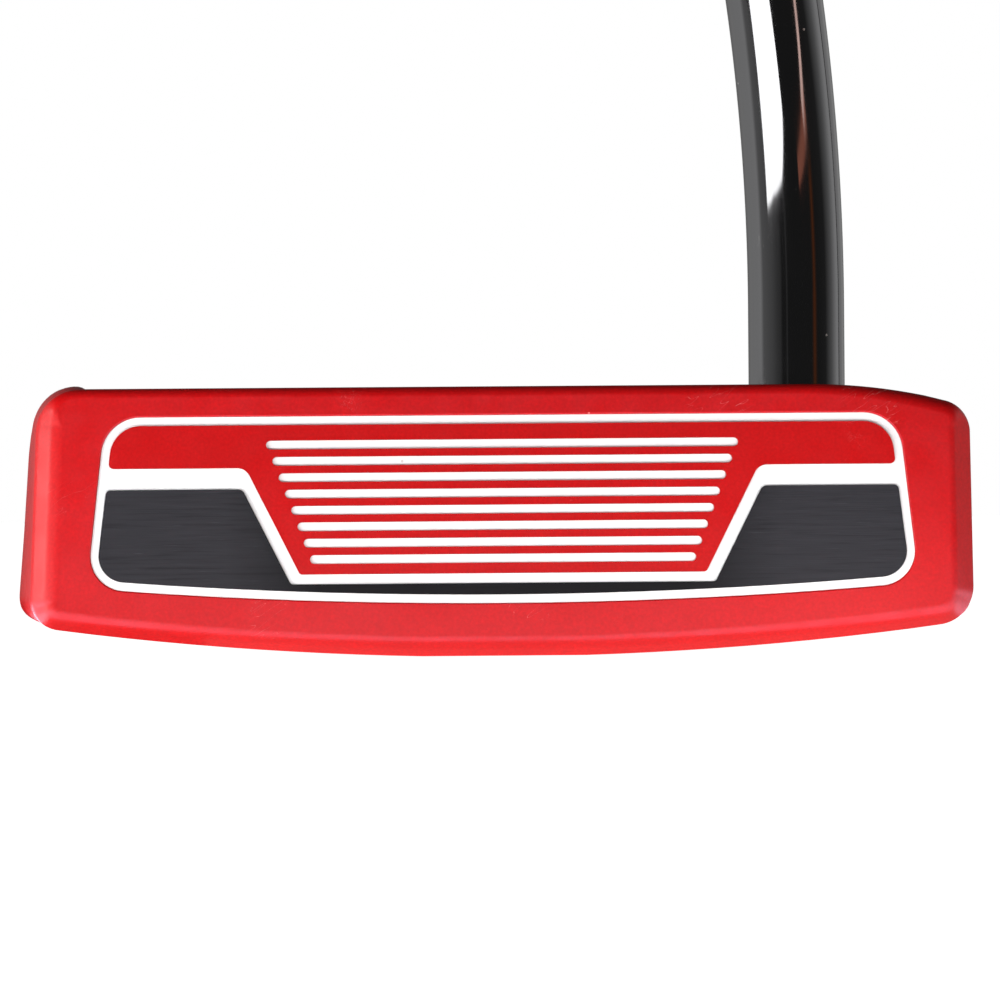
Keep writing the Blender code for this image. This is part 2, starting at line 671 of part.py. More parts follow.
def shaft_route():
    """Centre points and directions through the bends, and the butt end's place."""
    up = Vector((0, 0, 1))
    between = lean(-TOEWARD, FORWARD)
    away = lean(math.pi / 2 - LIE, 0.0)
    here = Vector((SHAFT_X, FACE_Y + SHAFT_DEPTH, SHAFT_FOOT))
    route = [(here.copy(), up)]
    here.z = BEND_START
    route.append((here.copy(), up))
    fine = 24
    for start, end, length in ((up, between, LOWER_BEND), (between, away, UPPER_BEND)):
        turn = start.rotation_difference(end)
        for ring in range(BEND_RINGS):
            for k in range(fine):
                share = (ring * fine + k + 0.5) / (BEND_RINGS * fine)
                heading = start.copy()
                heading.rotate(turn.__class__(turn.axis, turn.angle * share))
                here += heading * length / (BEND_RINGS * fine)
            heading = start.copy()
            heading.rotate(turn.__class__(turn.axis, turn.angle * (ring + 1) / BEND_RINGS))
            route.append((here.copy(), heading))
    butt = here + away * ((CLUB_LENGTH * away.z - here.z) / away.z)
    return route, butt, away


def tube_ring(centre, direction, radius, spin):
    axis = direction.normalized()
    across = (spin - axis * spin.dot(axis)).normalized()
    other = axis.cross(across)
    angles = [2 * math.pi * k / SHAFT_SIDES for k in range(SHAFT_SIDES)]
    return [centre + across * radius * math.cos(a) + other * radius * math.sin(a) for a in angles]


def make_shaft(material):
    route, butt, away = shaft_route()
    stations = [(centre, heading, TIP_RADIUS) for centre, heading in route]
    for k in reversed(range(STEP_COUNT)):
        mark = FIRST_STEP + STEP_PITCH * k
        for from_butt in (mark + STEP_LENGTH / 2, mark - STEP_LENGTH / 2):
            stations.append((butt - away * from_butt, away, shaft_radius(from_butt)))
    stations.append((butt - away * SHAFT_TOP, away, BUTT_RADIUS))
    spin = Vector((0, 1, 0))
    outer = [tube_ring(c, d, r, spin) for c, d, r in stations]
    inner = [tube_ring(c, d, r - SHAFT_WALL, spin) for c, d, r in reversed(stations)]
    bm = bmesh.new()
    loft(bm, outer + inner, closed=True)
    add_object("shaft", bm, material)
    return butt


def make_shaft_fixing(materials):
    centre = (SHAFT_X, FACE_Y + SHAFT_DEPTH)
    foot = SHAFT_FOOT + GAP
    top = foot + BOND_LENGTH
    sleeve = [(BOND_INNER, foot), (BOND_OUTER, foot), (BOND_OUTER, top), (BOND_INNER, top)]
    add_object("shaft_bond", turned(sleeve, SHAFT_SIDES, centre, closed=True), materials["epoxy"])
    radius = TIP_RADIUS - SHAFT_WALL - GAP
    plug = [(radius - PLUG_CHAMFER, foot), (radius, foot + PLUG_CHAMFER),
            (radius, foot + PLUG_LENGTH - PLUG_CHAMFER), (radius - PLUG_CHAMFER, foot + PLUG_LENGTH)]
    add_object("shaft_tip_plug", turned(plug, 16, centre), materials["plug"])


# ---- grip: its own frame has +Z along the shaft to the butt and -X out of the flat front ----
def grip_section(half_width, front, back, z):
    points = []
    for k in range(GRIP_SIDES):
        angle = 2 * math.pi * (k + 0.5) / GRIP_SIDES
        c, s = math.cos(angle), math.sin(angle)
        power = 2 / (ROUND_EXPONENT if c > 0 else FLAT_EXPONENT)
        reach = back if c > 0 else front
        x = math.copysign(reach * abs(c) ** power, c)
        y = math.copysign(half_width * abs(s) ** (2 / ROUND_EXPONENT), s)
        points.append((x, y, z))
    return points


def tape_radius(from_butt):
    """Inner radius of the tape, which clears every step of the shaft."""
    return BUTT_RADIUS + TAPE_CLEARANCE - max(from_butt - FIRST_STEP, 0.0) * GRIP_TAPER


def make_grip(materials, axis):
    bore_step = TAPE_THICKNESS + GAP
    outer = [grip_section(w, f, b, -s) for s, w, f, b in GRIP_STATIONS]
    inner = [circle(tape_radius(s) + bore_step, -s, GRIP_SIDES) for s, _, _, _ in reversed(GRIP_STATIONS)]
    turn = math.pi / GRIP_SIDES
    inner = [[Matrix.Rotation(turn, 3, "Z") @ Vector(p) for p in ring] for ring in inner]
    bm = bmesh.new()
    loft(bm, outer + inner, closed=True)
    add_object("grip", bm, materials["rubber"], axis)

    marks = (TAPE_TOP, FIRST_STEP, GRIP_LENGTH - JOIN)
    inner = [(tape_radius(s), -s) for s in marks]
    outer = [(tape_radius(s) + TAPE_THICKNESS, -s) for s in reversed(marks)]
    add_object("grip_tape", turned(inner + outer, SHAFT_SIDES, closed=True), materials["tape"], axis)

    _, width, front, back = GRIP_STATIONS[0]
    bm = bmesh.new()
    margin = CAP_MARGIN
    rings = [circle(CAP_STEM_RADIUS, -CAP_THICKNESS - CAP_STEM, GRIP_SIDES),
             circle(CAP_STEM_RADIUS, -CAP_THICKNESS, GRIP_SIDES)]
    rings = [[Matrix.Rotation(turn, 3, "Z") @ Vector(p) for p in ring] for ring in rings]
    rings += [grip_section(width, front, back, -CAP_THICKNESS),
              grip_section(width, front, back, -margin),
              grip_section(width - margin, front - margin, back - margin, 0.0)]
    loft(bm, rings)
    cap = add_object("grip_cap", bm, materials["cap"], axis)
    vent = turned([(VENT_RADIUS, -CAP_THICKNESS - CAP_STEM - JOIN), (VENT_RADIUS, JOIN)], 12)
    boolean(cap, add_object("cut_vent", vent, parent=axis), "DIFFERENCE")

    inner_radius = shaft_radius(BAND_TOP) + FIT
    band = [(inner_radius, -BAND_FOOT), (inner_radius + BAND_FILM, -BAND_FOOT),
            (inner_radius + BAND_FILM, -BAND_TOP), (inner_radius, -BAND_TOP)]
    add_object("shaft_band", turned(band, SHAFT_SIDES, closed=True), materials["band"], axis)


def main():
    clear_scene()
    materials = {
        "red": make_material("red_enamel", RED, 0.38, 0.2),
        "brushed_black": make_material("brushed_black", BLACK, 0.42, 0.6),
        "white": make_material("white_polymer", WHITE, 0.45),
        "film": make_material("adhesive_film", (0.62, 0.58, 0.46), 0.6),
        "steel": make_material("weight_steel", (0.55, 0.55, 0.56), 0.3, 1.0),
        "rubber": make_material("black_rubber", (0.02, 0.02, 0.021), 0.75),
        "chrome": make_material("black_chrome", (0.10, 0.10, 0.105), 0.12, 1.0),
        "epoxy": make_material("epoxy", (0.45, 0.40, 0.30), 0.4),
        "plug": make_material("tip_plug", (0.50, 0.34, 0.19), 0.8),
        "tape": make_material("grip_tape", (0.75, 0.72, 0.62), 0.8),
        "cap": make_material("cap_plastic", (0.03, 0.03, 0.032), 0.5),
        "band": make_material("band_film", (0.55, 0.02, 0.02), 0.3),
    }
    face = add_empty("face_frame", (0.0, FACE_Y, 0.0), (-LOFT, 0.0, 0.0))
    weight_frames = {name: add_empty(f"{name}_weight_frame", *weight_frame(side))
                     for name, side in SIDES.items()}
    make_head(materials["red"], face, weight_frames)
    make_insert(materials, face)
    make_deck_inlays(materials)
    make_weights(materials, weight_frames)
    butt = make_shaft(materials["chrome"])
    make_shaft_fixing(materials)
    axis = add_empty("grip_axis", butt, (0.0, math.pi / 2 - LIE, 0.0))
    make_grip(materials, axis)


main()
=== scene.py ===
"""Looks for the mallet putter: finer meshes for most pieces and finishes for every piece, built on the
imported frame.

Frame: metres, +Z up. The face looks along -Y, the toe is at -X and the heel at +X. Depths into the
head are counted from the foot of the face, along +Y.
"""
import json
import math
from functools import partial

import bmesh
import bpy
import numpy as np
from mathutils import Matrix, Vector


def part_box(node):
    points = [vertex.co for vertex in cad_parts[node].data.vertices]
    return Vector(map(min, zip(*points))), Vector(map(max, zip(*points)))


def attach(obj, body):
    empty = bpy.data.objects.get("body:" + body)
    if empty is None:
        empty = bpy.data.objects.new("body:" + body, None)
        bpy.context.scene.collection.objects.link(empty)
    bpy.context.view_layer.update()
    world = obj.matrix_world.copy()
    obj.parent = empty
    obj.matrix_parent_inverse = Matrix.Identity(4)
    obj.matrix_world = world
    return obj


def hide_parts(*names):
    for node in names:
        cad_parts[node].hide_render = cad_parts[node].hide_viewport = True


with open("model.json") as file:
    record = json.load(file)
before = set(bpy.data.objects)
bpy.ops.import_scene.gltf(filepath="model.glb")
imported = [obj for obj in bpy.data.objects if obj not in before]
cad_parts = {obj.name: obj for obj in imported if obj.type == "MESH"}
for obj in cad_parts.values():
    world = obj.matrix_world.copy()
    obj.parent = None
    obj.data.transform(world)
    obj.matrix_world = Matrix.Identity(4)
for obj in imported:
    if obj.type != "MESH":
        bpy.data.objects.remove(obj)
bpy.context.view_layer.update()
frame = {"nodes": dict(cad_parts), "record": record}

MOUNTS = {mount["name"]: mount for mount in frame["record"]["mounts"]}


def centre(node):
    low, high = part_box(node)
    return (low + high) / 2


# ---- places and sizes from the frame ----
STRIKE = MOUNTS["strike_face"]
LOFT = math.asin(STRIKE["axis"][2])
FACE_Y = STRIKE["pos_m"][1] - STRIKE["pos_m"][2] * math.tan(LOFT)
HEAD_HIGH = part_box("head_body")[1]
HEAD_DEPTH = HEAD_HIGH.y - FACE_Y
RAIL_CREST = {"toe": HEAD_HIGH.z, "heel": 0.0252}
RAIL_HALF_WIDTH = 0.0479
GAP = 0.0003  # round a piece that sits in a pocket
HAIRLINE = 0.00003  # between pieces that are glued
JOIN = 0.001  # overlap of shapes that a union joins

# ---- head ----
BLOCK_DEPTH = 0.0105
HEAD_HALF_WIDTH = 0.0459  # at SIDE_HEIGHT
SIDE_HEIGHT = 0.010
SIDE_SLOPE = {"toe": math.tan(math.radians(2.4)), "heel": math.tan(math.radians(0.7))}
SIDE_FLARE = 0.9  # growth of the half width for each metre of depth, per half width
SOLE_RADIUS = 0.325
SOLE_FLAT = 0.008
SOLE_CORNER = {"toe": 0.0031, "heel": 0.0038}
CROWN_HEIGHT = 0.0263
CROWN_FLAT = {"toe": 0.0400, "heel": 0.030}
CROWN_FALL_RADIUS = 0.054
CROWN_CORNER = {"toe": 0.0042, "heel": 0.0032}
BLOCK_LIFT = 0.00005
BACK_CHAMFER = 0.0006
EDGE_REACH = 0.0018  # width of the facet along the face's sides
FACET_DEPTH = 0.00195
CRISP_EDGE = (0.0010, 0.0005)  # radius between the face and the facet, and between it and the side wall
SOFT_EDGE = (0.0022, 0.0012)  # the same round the toe
FOOT_EDGE = (0.0030, 0.0005)  # along the foot
CROWN_EDGE = (0.0031, 0.0031)  # and along the crown, where hardly any facet is left
SOFT_SPREAD = (0.030, 0.044)  # distances from the middle between which the toe's edge softens
FOOT_SCALE = 0.66  # facet along the foot, against the sides
FOOT_TURN = (0.3, 0.95)  # downward lean of the edge over which the sides' facet becomes the foot's
CROWN_TURN = (0.2, 0.95)  # upward lean of the edge over which it becomes the crown's
CROWN_SCALE = 0.30  # facet along the crown
HEEL_CROWN_SCALE = 0.45  # where the crown falls to the heel
HEEL_CROWN_SPREAD = (0.026, 0.044)  # it widens between these distances from the middle

RAIL_START = 0.0045
RAIL_WIDEST = 0.040
RAIL_TUCK = 0.00025
RAIL_SQUARENESS = 2.5
RAIL_THICKNESS = 0.0050
RAIL_CREST_AT_BLOCK = 0.0240
CREST_RISE = (BLOCK_DEPTH - 0.004, BLOCK_DEPTH + 0.010)  # depths between which the rails rise
CREST_FALL = 0.030  # depth from which they fall towards the rear
REAR_CREST = 0.0125
REAR_SOLE_LIFT = 0.0015
RAIL_ROUND = 0.0022
RAIL_SHOULDER = 0.0036  # round of the rails' outer top edge
RAIL_FOOT_ROUND = 0.0012
RAIL_LEAN = 0.0010  # how far the rails' outer face leans in at the top
LEAN_RISE = (0.0175, 0.0260)  # heights between which it leans
RAIL_STATIONS = 60
SIDE_START = (0.2, 1.0)  # share of a rear quarter over which the bridge takes the sides' slope

DECK_HALF_WIDTH = 0.011
DECK_TOP = 0.0045
DECK_END = 0.0735
DECK_ROUND = 0.0008
REAR_LIFT_START = 0.048

WEIGHT_X = 0.0335
WEIGHT_DEPTH = 0.0230
WEIGHT_HEAD_RADIUS = 0.0072
WEIGHT_HEAD_HEIGHT = 0.003
WEIGHT_STEM_RADIUS = 0.0046
WEIGHT_STEM_HEIGHT = 0.0055
WEIGHT_SINK = 0.0003
WEIGHT_SEAT = 0.0045
TOOL_MARK_PITCH = 0.00022
WEIGHT_ROUND = 0.0005  # at the rim of its underside
SOCKET_RADIUS = 0.0023
SOCKET_DEPTH = 0.0026
SOCKET_FLAT = 0.0032  # the underside is one flat inside this radius
RING_INNER, RING_OUTER = 0.0042, 0.0050  # groove round the socket
RING_DEPTH = 0.0002  # and slope of its sides
THREAD_PITCH = 0.0008
THREAD_TURNS = 6
THREAD_DEPTH = 0.0003
PAD_INNER, PAD_OUTER = 0.0245, 0.0445
PAD_REAR = 0.0325
PAD_TOP = 0.0124
PAD_CORNER = 0.0070

VOXEL = 0.00045  # the rear of the head is blended on a grid this fine
TUCK = 0.0002  # the blended rear inside the face block's skin
SMOOTHING = 5

# ---- face insert, in the face's own plane: x towards the heel, z up the face ----
INSERT_DEPTH = 0.0038
CORE_BACK = 0.0020
PLATE_THICKNESS = 0.00105
RIB_SINK = 0.00028
INLAY_BEVEL = 0.00007
BEVEL_ANGLE = 35  # an inlay's edges sharper than this, in degrees, are bevelled
FLAT_ANGLE = 20  # and its faces that meet at more are shaded flat

OUTLINE_TOP = 0.0236
OUTLINE_FOOT = 0.0052
OUTLINE_FOOT_RADIUS = 0.480
OUTLINE_HALF_WIDTH = 0.0391
OUTLINE_HEIGHT = 0.0201
OUTLINE_SLOPE = 0.112
OUTLINE_BAND = 0.00085
OUTLINE_TOP_CORNER = 0.0039
OUTLINE_FOOT_CORNER = 0.0034
BAND_LOW, BAND_HIGH = 0.0165, 0.01855
DIAGONAL_SLOPE = 0.5
DIAGONAL_X = 0.0247
DIAGONAL_HEIGHT = 0.0152
DIAGONAL_WIDTH = 0.00134
TRAY_LOW, TRAY_HIGH = 0.0072, 0.00813
TRAY_CORNER = 0.0004
BAND_CORNER = 0.0005  # where the band meets the outline
BAND_TURN = {"red": 0.0013, "black": 0.0007}  # round where it meets the diagonal
LINE_COUNT = 8
LINE_TOP = 0.0208
LINE_PITCH = 0.0016
LINE_THICKNESS = 0.00083
LINE_HALF_LENGTH = 0.0230
LINE_SHORTER = 0.0006

# ---- deck plate ----
PLATE_X = 0.0088
PLATE_FRONT, PLATE_REAR = 0.0135, 0.0665
PLATE_CORNER = 0.002
PLATE_GAP = 0.00012
DECK_PLATE_THICKNESS = 0.0010
SIGHT_WIDTHS = {"sight_line_toe": 0.0009, "sight_line_centre": 0.0018, "sight_line_heel": 0.0009}

# ---- shaft ----
SHAFT_AXIS = Vector(MOUNTS["grip_hold"]["axis"])
SHAFT_FOOT_CENTRE = centre("shaft_bond")
TIP_RADIUS = 0.00475
BUTT_RADIUS = 0.00735
SHAFT_WALL = 0.00055
SHAFT_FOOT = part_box("shaft")[0].z
BEND_START = 0.034
LOWER_BEND = 0.034  # lengths of the bends along the shaft
UPPER_BEND = 0.026
TOEWARD = math.radians(9.7)
FORWARD = math.radians(22.0)
SHAFT_SIDES = 72
BEND_RINGS = 30
BEND_FINENESS = 8  # steps walked for each ring
STEP_COUNT = 9
STEP_PITCH = 0.0445
FIRST_STEP = 0.080
STEP_LENGTH = 0.0015
CLUB_LENGTH = 0.8636
SHAFT_TOP = 0.007
BORE_MOUTH_RADIUS = TIP_RADIUS + GAP
BORE_POCKET_RADIUS = 0.0056
BORE_MOUTH_FOOT = 0.0223
BOSS_RADIUS = 0.0071
BOSS_TOP = 0.0259
BOSS_FOOT_ROUND, BOSS_TOP_ROUND = 0.0006, 0.0008

# ---- grip, measured down from the butt ----
GRIP_LENGTH = 0.268
CAP_THICKNESS = 0.003
GRIP_TOP = CAP_THICKNESS + 0.0003
CAP_SPIGOT_RADIUS = 0.0068
CAP_SPIGOT_LENGTH = 0.0034
# the cap's top from its rim inwards: inset from the grip's section, height against the butt
CAP_PROFILE = ((0.0, -CAP_THICKNESS), (0.0, -0.0012), (0.00012, -0.0007), (0.0004, -0.0003),
               (0.0010, 0.0), (0.0040, 0.0), (0.0043, -0.0003), (0.0049, -0.0003), (0.0052, 0.0))
# distance from the butt, half width, reach to the flat front, reach to the back
GRIP_STATIONS = ((GRIP_TOP, 0.0118, 0.0110, 0.0148), (0.020, 0.0121, 0.0111, 0.0160),
                 (0.045, 0.0119, 0.0109, 0.0160), (0.075, 0.0114, 0.0105, 0.0138),
                 (0.105, 0.0110, 0.0101, 0.0122), (0.150, 0.0105, 0.0098, 0.0112),
                 (0.200, 0.0100, 0.0094, 0.0103), (0.250, 0.0095, 0.0090, 0.0096),
                 (0.264, 0.0093, 0.0088, 0.0093), (GRIP_LENGTH, 0.0086, 0.0083, 0.0086))
FLAT_EXPONENT = 3.6
ROUND_EXPONENT = 2.2
GRIP_AROUND = 144
GRIP_ALONG = 520
GRIP_BORE = 0.0081
DIMPLE_PITCH = 0.0028
DIMPLE_ROW = 0.87 * DIMPLE_PITCH
DIMPLE_RADIUS = 0.0009
DIMPLE_DEPTH = 0.00028
PANEL_HALF_WIDTH = 0.0066  # smooth flat front
GROOVE_PITCH = 0.0048  # grooves across the flat front
GROOVE_HALF_WIDTH = 0.0004
GROOVE_FADE = (0.0010, 0.0016)  # distances from the front's border between which they reach full depth
PLAIN_END = 0.012  # smooth collar at each end
PLAIN_FADE = 0.002
COLLAR_MARKS = (GRIP_TOP + 0.006, GRIP_TOP + 0.009, GRIP_LENGTH - 0.009, GRIP_LENGTH - 0.006)
COLLAR_DEPTH = 0.0003
COLLAR_HALF_WIDTH = 0.0005
VENT_RADIUS = 0.0012
BAND_TOP, BAND_FOOT = 0.309, 0.339
BAND_THICKNESS = 0.00024
RING_FROM_MIDDLE = 0.0105  # the band's pale rings
RING_HALF_WIDTH = 0.0009
BAND_EDGE = 0.0003  # over which the band thins at its ends

RED = (0.595, 0.0038, 0.0052)
SIDES = {"toe": -1, "heel": 1}


# ---- mesh helpers ----
def add_object(name, data, matrix=None):
    item = bpy.data.objects.new(name, data)
    bpy.context.scene.collection.objects.link(item)
    if matrix:
        item.matrix_world = matrix
    return item


def add_piece(name, bm, matrix=None):
    bmesh.ops.recalc_face_normals(bm, faces=bm.faces)
    mesh = bpy.data.meshes.new(name)
    bm.to_mesh(mesh)
    bm.free()
    return add_object(name, mesh, matrix)


def settle(item):
    """Apply an object's modifiers."""
    bpy.context.view_layer.update()
    graph = bpy.context.evaluated_depsgraph_get()
    mesh = bpy.data.meshes.new_from_object(item.evaluated_get(graph))
    item.modifiers.clear()
    item.data = mesh
    return item


def combine(item, tools, operation, solver="EXACT"):
    for tool in tools:
        modifier = item.modifiers.new(tool.name, "BOOLEAN")
        modifier.operation = operation
        modifier.solver = solver
        modifier.object = tool
    settle(item)
    for tool in tools:
        bpy.data.objects.remove(tool)
    return item


def dress(item, slot, material, *nodes, smooth=34):
    """Finish a piece: smooth shading, its material, and its place in the frame."""
    item.data.materials.clear()
    item.data.materials.append(material)
    item.data.shade_smooth()
    item.data.set_sharp_from_angle(angle=math.radians(smooth))
    normals = item.modifiers.new("normals", "WEIGHTED_NORMAL")
    normals.mode = "FACE_AREA"
    normals.weight = 100
    normals.keep_sharp = True
    settle(item)
    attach(item, "root")
    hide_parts(*nodes)
    return item


def make_inlay(name, bm, slot, material, node, matrix=None):
    """A flat piece let into another, with its sharp edges broken."""
    item = add_piece(name, bm, matrix)
    modifier = item.modifiers.new("bevel", "BEVEL")
    modifier.width = INLAY_BEVEL
    modifier.segments = 2
    modifier.limit_method = "ANGLE"
    modifier.angle_limit = math.radians(BEVEL_ANGLE)
    modifier.harden_normals = False
    settle(item)
    return dress(item, slot, material, node, smooth=FLAT_ANGLE)


def loft(bm, rings, closed=False):
    rows = [[bm.verts.new(point) for point in ring] for ring in rings]
    following = rows[1:] + rows[:1] if closed else rows[1:]
    for row, after in zip(rows, following):
        for i, vert in enumerate(row):
            j = (i + 1) % len(row)
            bm.faces.new((vert, row[j], after[j], after[i]))
    if not closed:
        bm.faces.new(rows[0])
        bm.faces.new(rows[-1])
    return bm


def circle(radius, z, sides, middle=(0.0, 0.0)):
    angles = [2 * math.pi * i / sides for i in range(sides)]
    return [(middle[0] + radius * math.cos(a), middle[1] + radius * math.sin(a), z) for a in angles]


def turned(profile, sides=96, middle=(0.0, 0.0), closed=False):
    return loft(bmesh.new(), [circle(radius, z, sides, middle) for radius, z in profile], closed)


def flat_solid(loops, front, back, plane="face"):
    """A plate between two levels, from an outer loop and its holes."""
    bm = bmesh.new()
    edges = []
    for loop in loops:
        if plane == "face":
            verts = [bm.verts.new((x, front, z)) for x, z in loop]
        else:
            verts = [bm.verts.new((x, y, front)) for x, y in loop]
        edges += [bm.edges.new(pair) for pair in zip(verts, verts[1:] + verts[:1])]
    filled = bmesh.ops.triangle_fill(bm, use_beauty=True, edges=edges)
    faces = [item for item in filled["geom"] if isinstance(item, bmesh.types.BMFace)]
    grown = bmesh.ops.extrude_face_region(bm, geom=faces)
    moved = [item for item in grown["geom"] if isinstance(item, bmesh.types.BMVert)]
    shift = (0, back - front, 0) if plane == "face" else (0, 0, back - front)
    bmesh.ops.translate(bm, vec=shift, verts=moved)
    return bm


def inset_polygon(points, distance):
    result = []
    for i, point in enumerate(points):
        here = Vector(point)
        before = (here - Vector(points[i - 1])).normalized()
        after = (Vector(points[(i + 1) % len(points)]) - here).normalized()
        mitre = Vector((-before.y - after.y, before.x + after.x)).normalized()
        result.append(tuple(here + mitre * distance / mitre.dot((-before.y, before.x))))
    return result


def round_polygon(corners, inset=0.0, steps=12):
    """Inset a counter-clockwise polygon of (x, y, corner radius) and round its corners."""
    points = inset_polygon([(x, y) for x, y, _ in corners], inset)
    result = []
    for i, (_, _, radius) in enumerate(corners):
        here = Vector(points[i])
        to_last = (Vector(points[i - 1]) - here).normalized()
        to_next = (Vector(points[(i + 1) % len(points)]) - here).normalized()
        convex = to_last.cross(to_next) < 0
        radius = radius - inset if convex else radius + inset
        if not corners[i][2] or radius <= 0:
            result.append(tuple(here))
            continue
        half = to_last.angle(to_next) / 2
        middle = here + (to_last + to_next).normalized() * radius / math.sin(half)
        start = here + to_last * radius / math.tan(half) - middle
        turn = (math.pi - 2 * half) * (1 if convex else -1)
        for k in range(steps + 1):
            spoke = start.copy()
            spoke.rotate(Matrix.Rotation(turn * k / steps, 2))
            result.append(tuple(middle + spoke))
    return result


def stadium(middle, half_length, thickness, along_x=True, steps=12):
    radius = thickness / 2
    points = []
    for side in (1, -1):
        for k in range(steps + 1):
            angle = math.pi * (k / steps - 0.5)
            u = side * (half_length - radius + radius * math.cos(angle))
            v = side * radius * math.sin(angle)
            offset = (u, v) if along_x else (-v, u)
            points.append((middle[0] + offset[0], middle[1] + offset[1]))
    return points


def blend(value, low, high):
    t = min(max((value - low) / (high - low), 0.0), 1.0)
    return t * t * (3 - 2 * t)


def flipped(corners):
    """The same corners on the other side of the middle, still counter-clockwise."""
    return [(-x, *rest) for x, *rest in reversed(corners)]


def mirrored(corners):
    return corners + flipped([corner for corner in corners if abs(corner[0]) > 1e-9])


# ---- finishes ----
def add_node(tree, kind, inputs=(), **settings):
    """A shader node with its settings made, and its sockets linked or given values."""
    node = tree.nodes.new(kind)
    for setting, value in settings.items():
        setattr(node, setting, value)
    for socket, value in dict(inputs).items():
        if isinstance(value, bpy.types.NodeSocket):
            tree.links.new(value, node.inputs[socket])
        else:
            node.inputs[socket].default_value = value
    return node


def shade(colour, factor):
    return tuple(min(part * factor, 1.0) for part in colour)


class Finish:
    """A Principled material and the fields that feed it, in object coordinates (metres)."""

    def __init__(self, name, colour, roughness, metallic=0.0, **constants):
        self.material = bpy.data.materials.new(name)
        self.material.use_nodes = True
        self.tree = self.material.node_tree
        self.node = partial(add_node, self.tree)
        self.shader = self.tree.nodes["Principled BSDF"]
        constants.update(Base_Color=(*colour, 1.0), Roughness=roughness, Metallic=metallic)
        for socket, value in constants.items():
            self.shader.inputs[socket.replace("_", " ")].default_value = value
        self.place = self.node("ShaderNodeTexCoord").outputs["Object"]

    def axis(self, name):
        return self.node("ShaderNodeSeparateXYZ", {0: self.place}).outputs[name]

    def noise(self, size, detail=3.0, distortion=0.0, turn=(0.0, 0.0, 0.0)):
        """Cloudy field whose features have the given size, one number or one for each axis."""
        sizes = size if isinstance(size, tuple) else (size,) * 3
        turned_place = self.node("ShaderNodeMapping", {"Vector": self.place, "Rotation": turn})
        scaled = self.node("ShaderNodeMapping", {"Vector": turned_place.outputs[0],
                                                 "Scale": [1 / s for s in sizes]})
        field = self.node("ShaderNodeTexNoise", {"Vector": scaled.outputs[0], "Scale": 1.0,
                                                 "Detail": detail, "Distortion": distortion})
        return field.outputs["Fac"]

    def cells(self, size):
        """Distance to the nearest point of a scatter with the given spacing."""
        scaled = self.node("ShaderNodeMapping", {"Vector": self.place, "Scale": (1 / size,) * 3})
        field = self.node("ShaderNodeTexVoronoi", {"Vector": scaled.outputs[0], "Scale": 1.0})
        return field.outputs["Distance"]

    def span(self, field, low, high, first=0.0, last=1.0):
        """Map low..high of a field to first..last, clamped."""
        node = self.node("ShaderNodeMapRange", {"Value": field, "From Min": low, "From Max": high,
                                                "To Min": first, "To Max": last})
        return node.outputs["Result"]

    def spread(self, field, first=0.0, last=1.0):
        """Map the bulk of a cloudy field to first..last."""
        return self.span(field, 0.3, 0.7, first, last)

    def calc(self, operation, a, b=0.0):
        return self.node("ShaderNodeMath", {0: a, 1: b}, operation=operation).outputs[0]

    def times(self, a, b):
        return self.calc("MULTIPLY", a, b)

    def most(self, a, b):
        return self.calc("MAXIMUM", a, b)

    def near(self, field, value, width):
        """1 where a field passes through a value, fading to 0 over the width: thin winding lines."""
        distance = self.calc("ABSOLUTE", self.calc("SUBTRACT", field, value))
        return self.span(distance, 0.0, width, 1.0, 0.0)

    def mix(self, factor, first, second):
        """Blend two colours, each a triple or another field."""
        ends = [end if isinstance(end, bpy.types.NodeSocket) else (*end, 1.0) for end in (first, second)]
        inputs = {"Factor": factor, 6: ends[0], 7: ends[1]}
        return self.node("ShaderNodeMix", inputs, data_type="RGBA").outputs[2]

    def cloudy(self, field, colour, low, high):
        """A colour that a cloudy field shades from one factor to another."""
        return self.mix(self.spread(field), shade(colour, low), shade(colour, high))

    def feed(self, socket, value):
        self.tree.links.new(value, self.shader.inputs[socket])

    def done(self, colour, roughness, *layers):
        """Feed the colour, the roughness and the bumps, each a (field, height in metres)."""
        self.feed("Base Color", colour)
        self.feed("Roughness", roughness)
        normal = None
        for field, height in layers:
            node = self.node("ShaderNodeBump", {"Height": field, "Distance": height, "Strength": 1.0})
            if normal:
                self.tree.links.new(normal, node.inputs["Normal"])
            normal = node.outputs["Normal"]
        self.feed("Normal", normal)
        return self.material


def enamel(name, colour):
    """Satin red enamel: cloudy tone, fine orange peel, short pale scuffs and a few dust specks."""
    finish = Finish(name, colour, 0.36, Specular_IOR_Level=0.26)
    cloud = finish.noise(0.006, detail=4.0)
    grain = finish.noise(0.00030, detail=2.0)
    mottle = finish.noise(0.00075)
    patch = finish.span(finish.noise(0.0060, detail=1.0), 0.68, 0.78)
    wisp = finish.near(finish.noise(0.0010, distortion=1.6), 0.5, 0.010)
    speck = finish.span(finish.cells(0.0050), 0.018, 0.026, 1.0, 0.0)
    gate = finish.span(finish.noise(0.010, detail=1.0), 0.64, 0.70)
    slant = finish.noise((0.004, 0.004, 0.0006), detail=1.0, turn=(0.0, 0.6, 0.0))
    scratch = finish.times(gate, finish.near(slant, 0.5, 0.005))
    tone = finish.cloudy(cloud, colour, 0.92, 1.06)
    tone = finish.mix(finish.spread(mottle, 0.0, 0.45), tone, shade(colour, 0.80))
    tone = finish.mix(finish.span(grain, 0.25, 0.75, 0.0, 0.75), tone, shade(colour, 0.68))
    marks = finish.most(finish.times(finish.times(patch, wisp), 0.24), finish.times(speck, 0.4))
    marks = finish.most(marks, finish.times(scratch, 0.30))
    tone = finish.mix(marks, tone, (0.88, 0.42, 0.40))
    return finish.done(tone, finish.spread(finish.noise(0.0022), 0.31, 0.42),
                       (finish.noise(0.0009, detail=2.0), 0.000012), (grain, 0.000005), (marks, -0.00001))


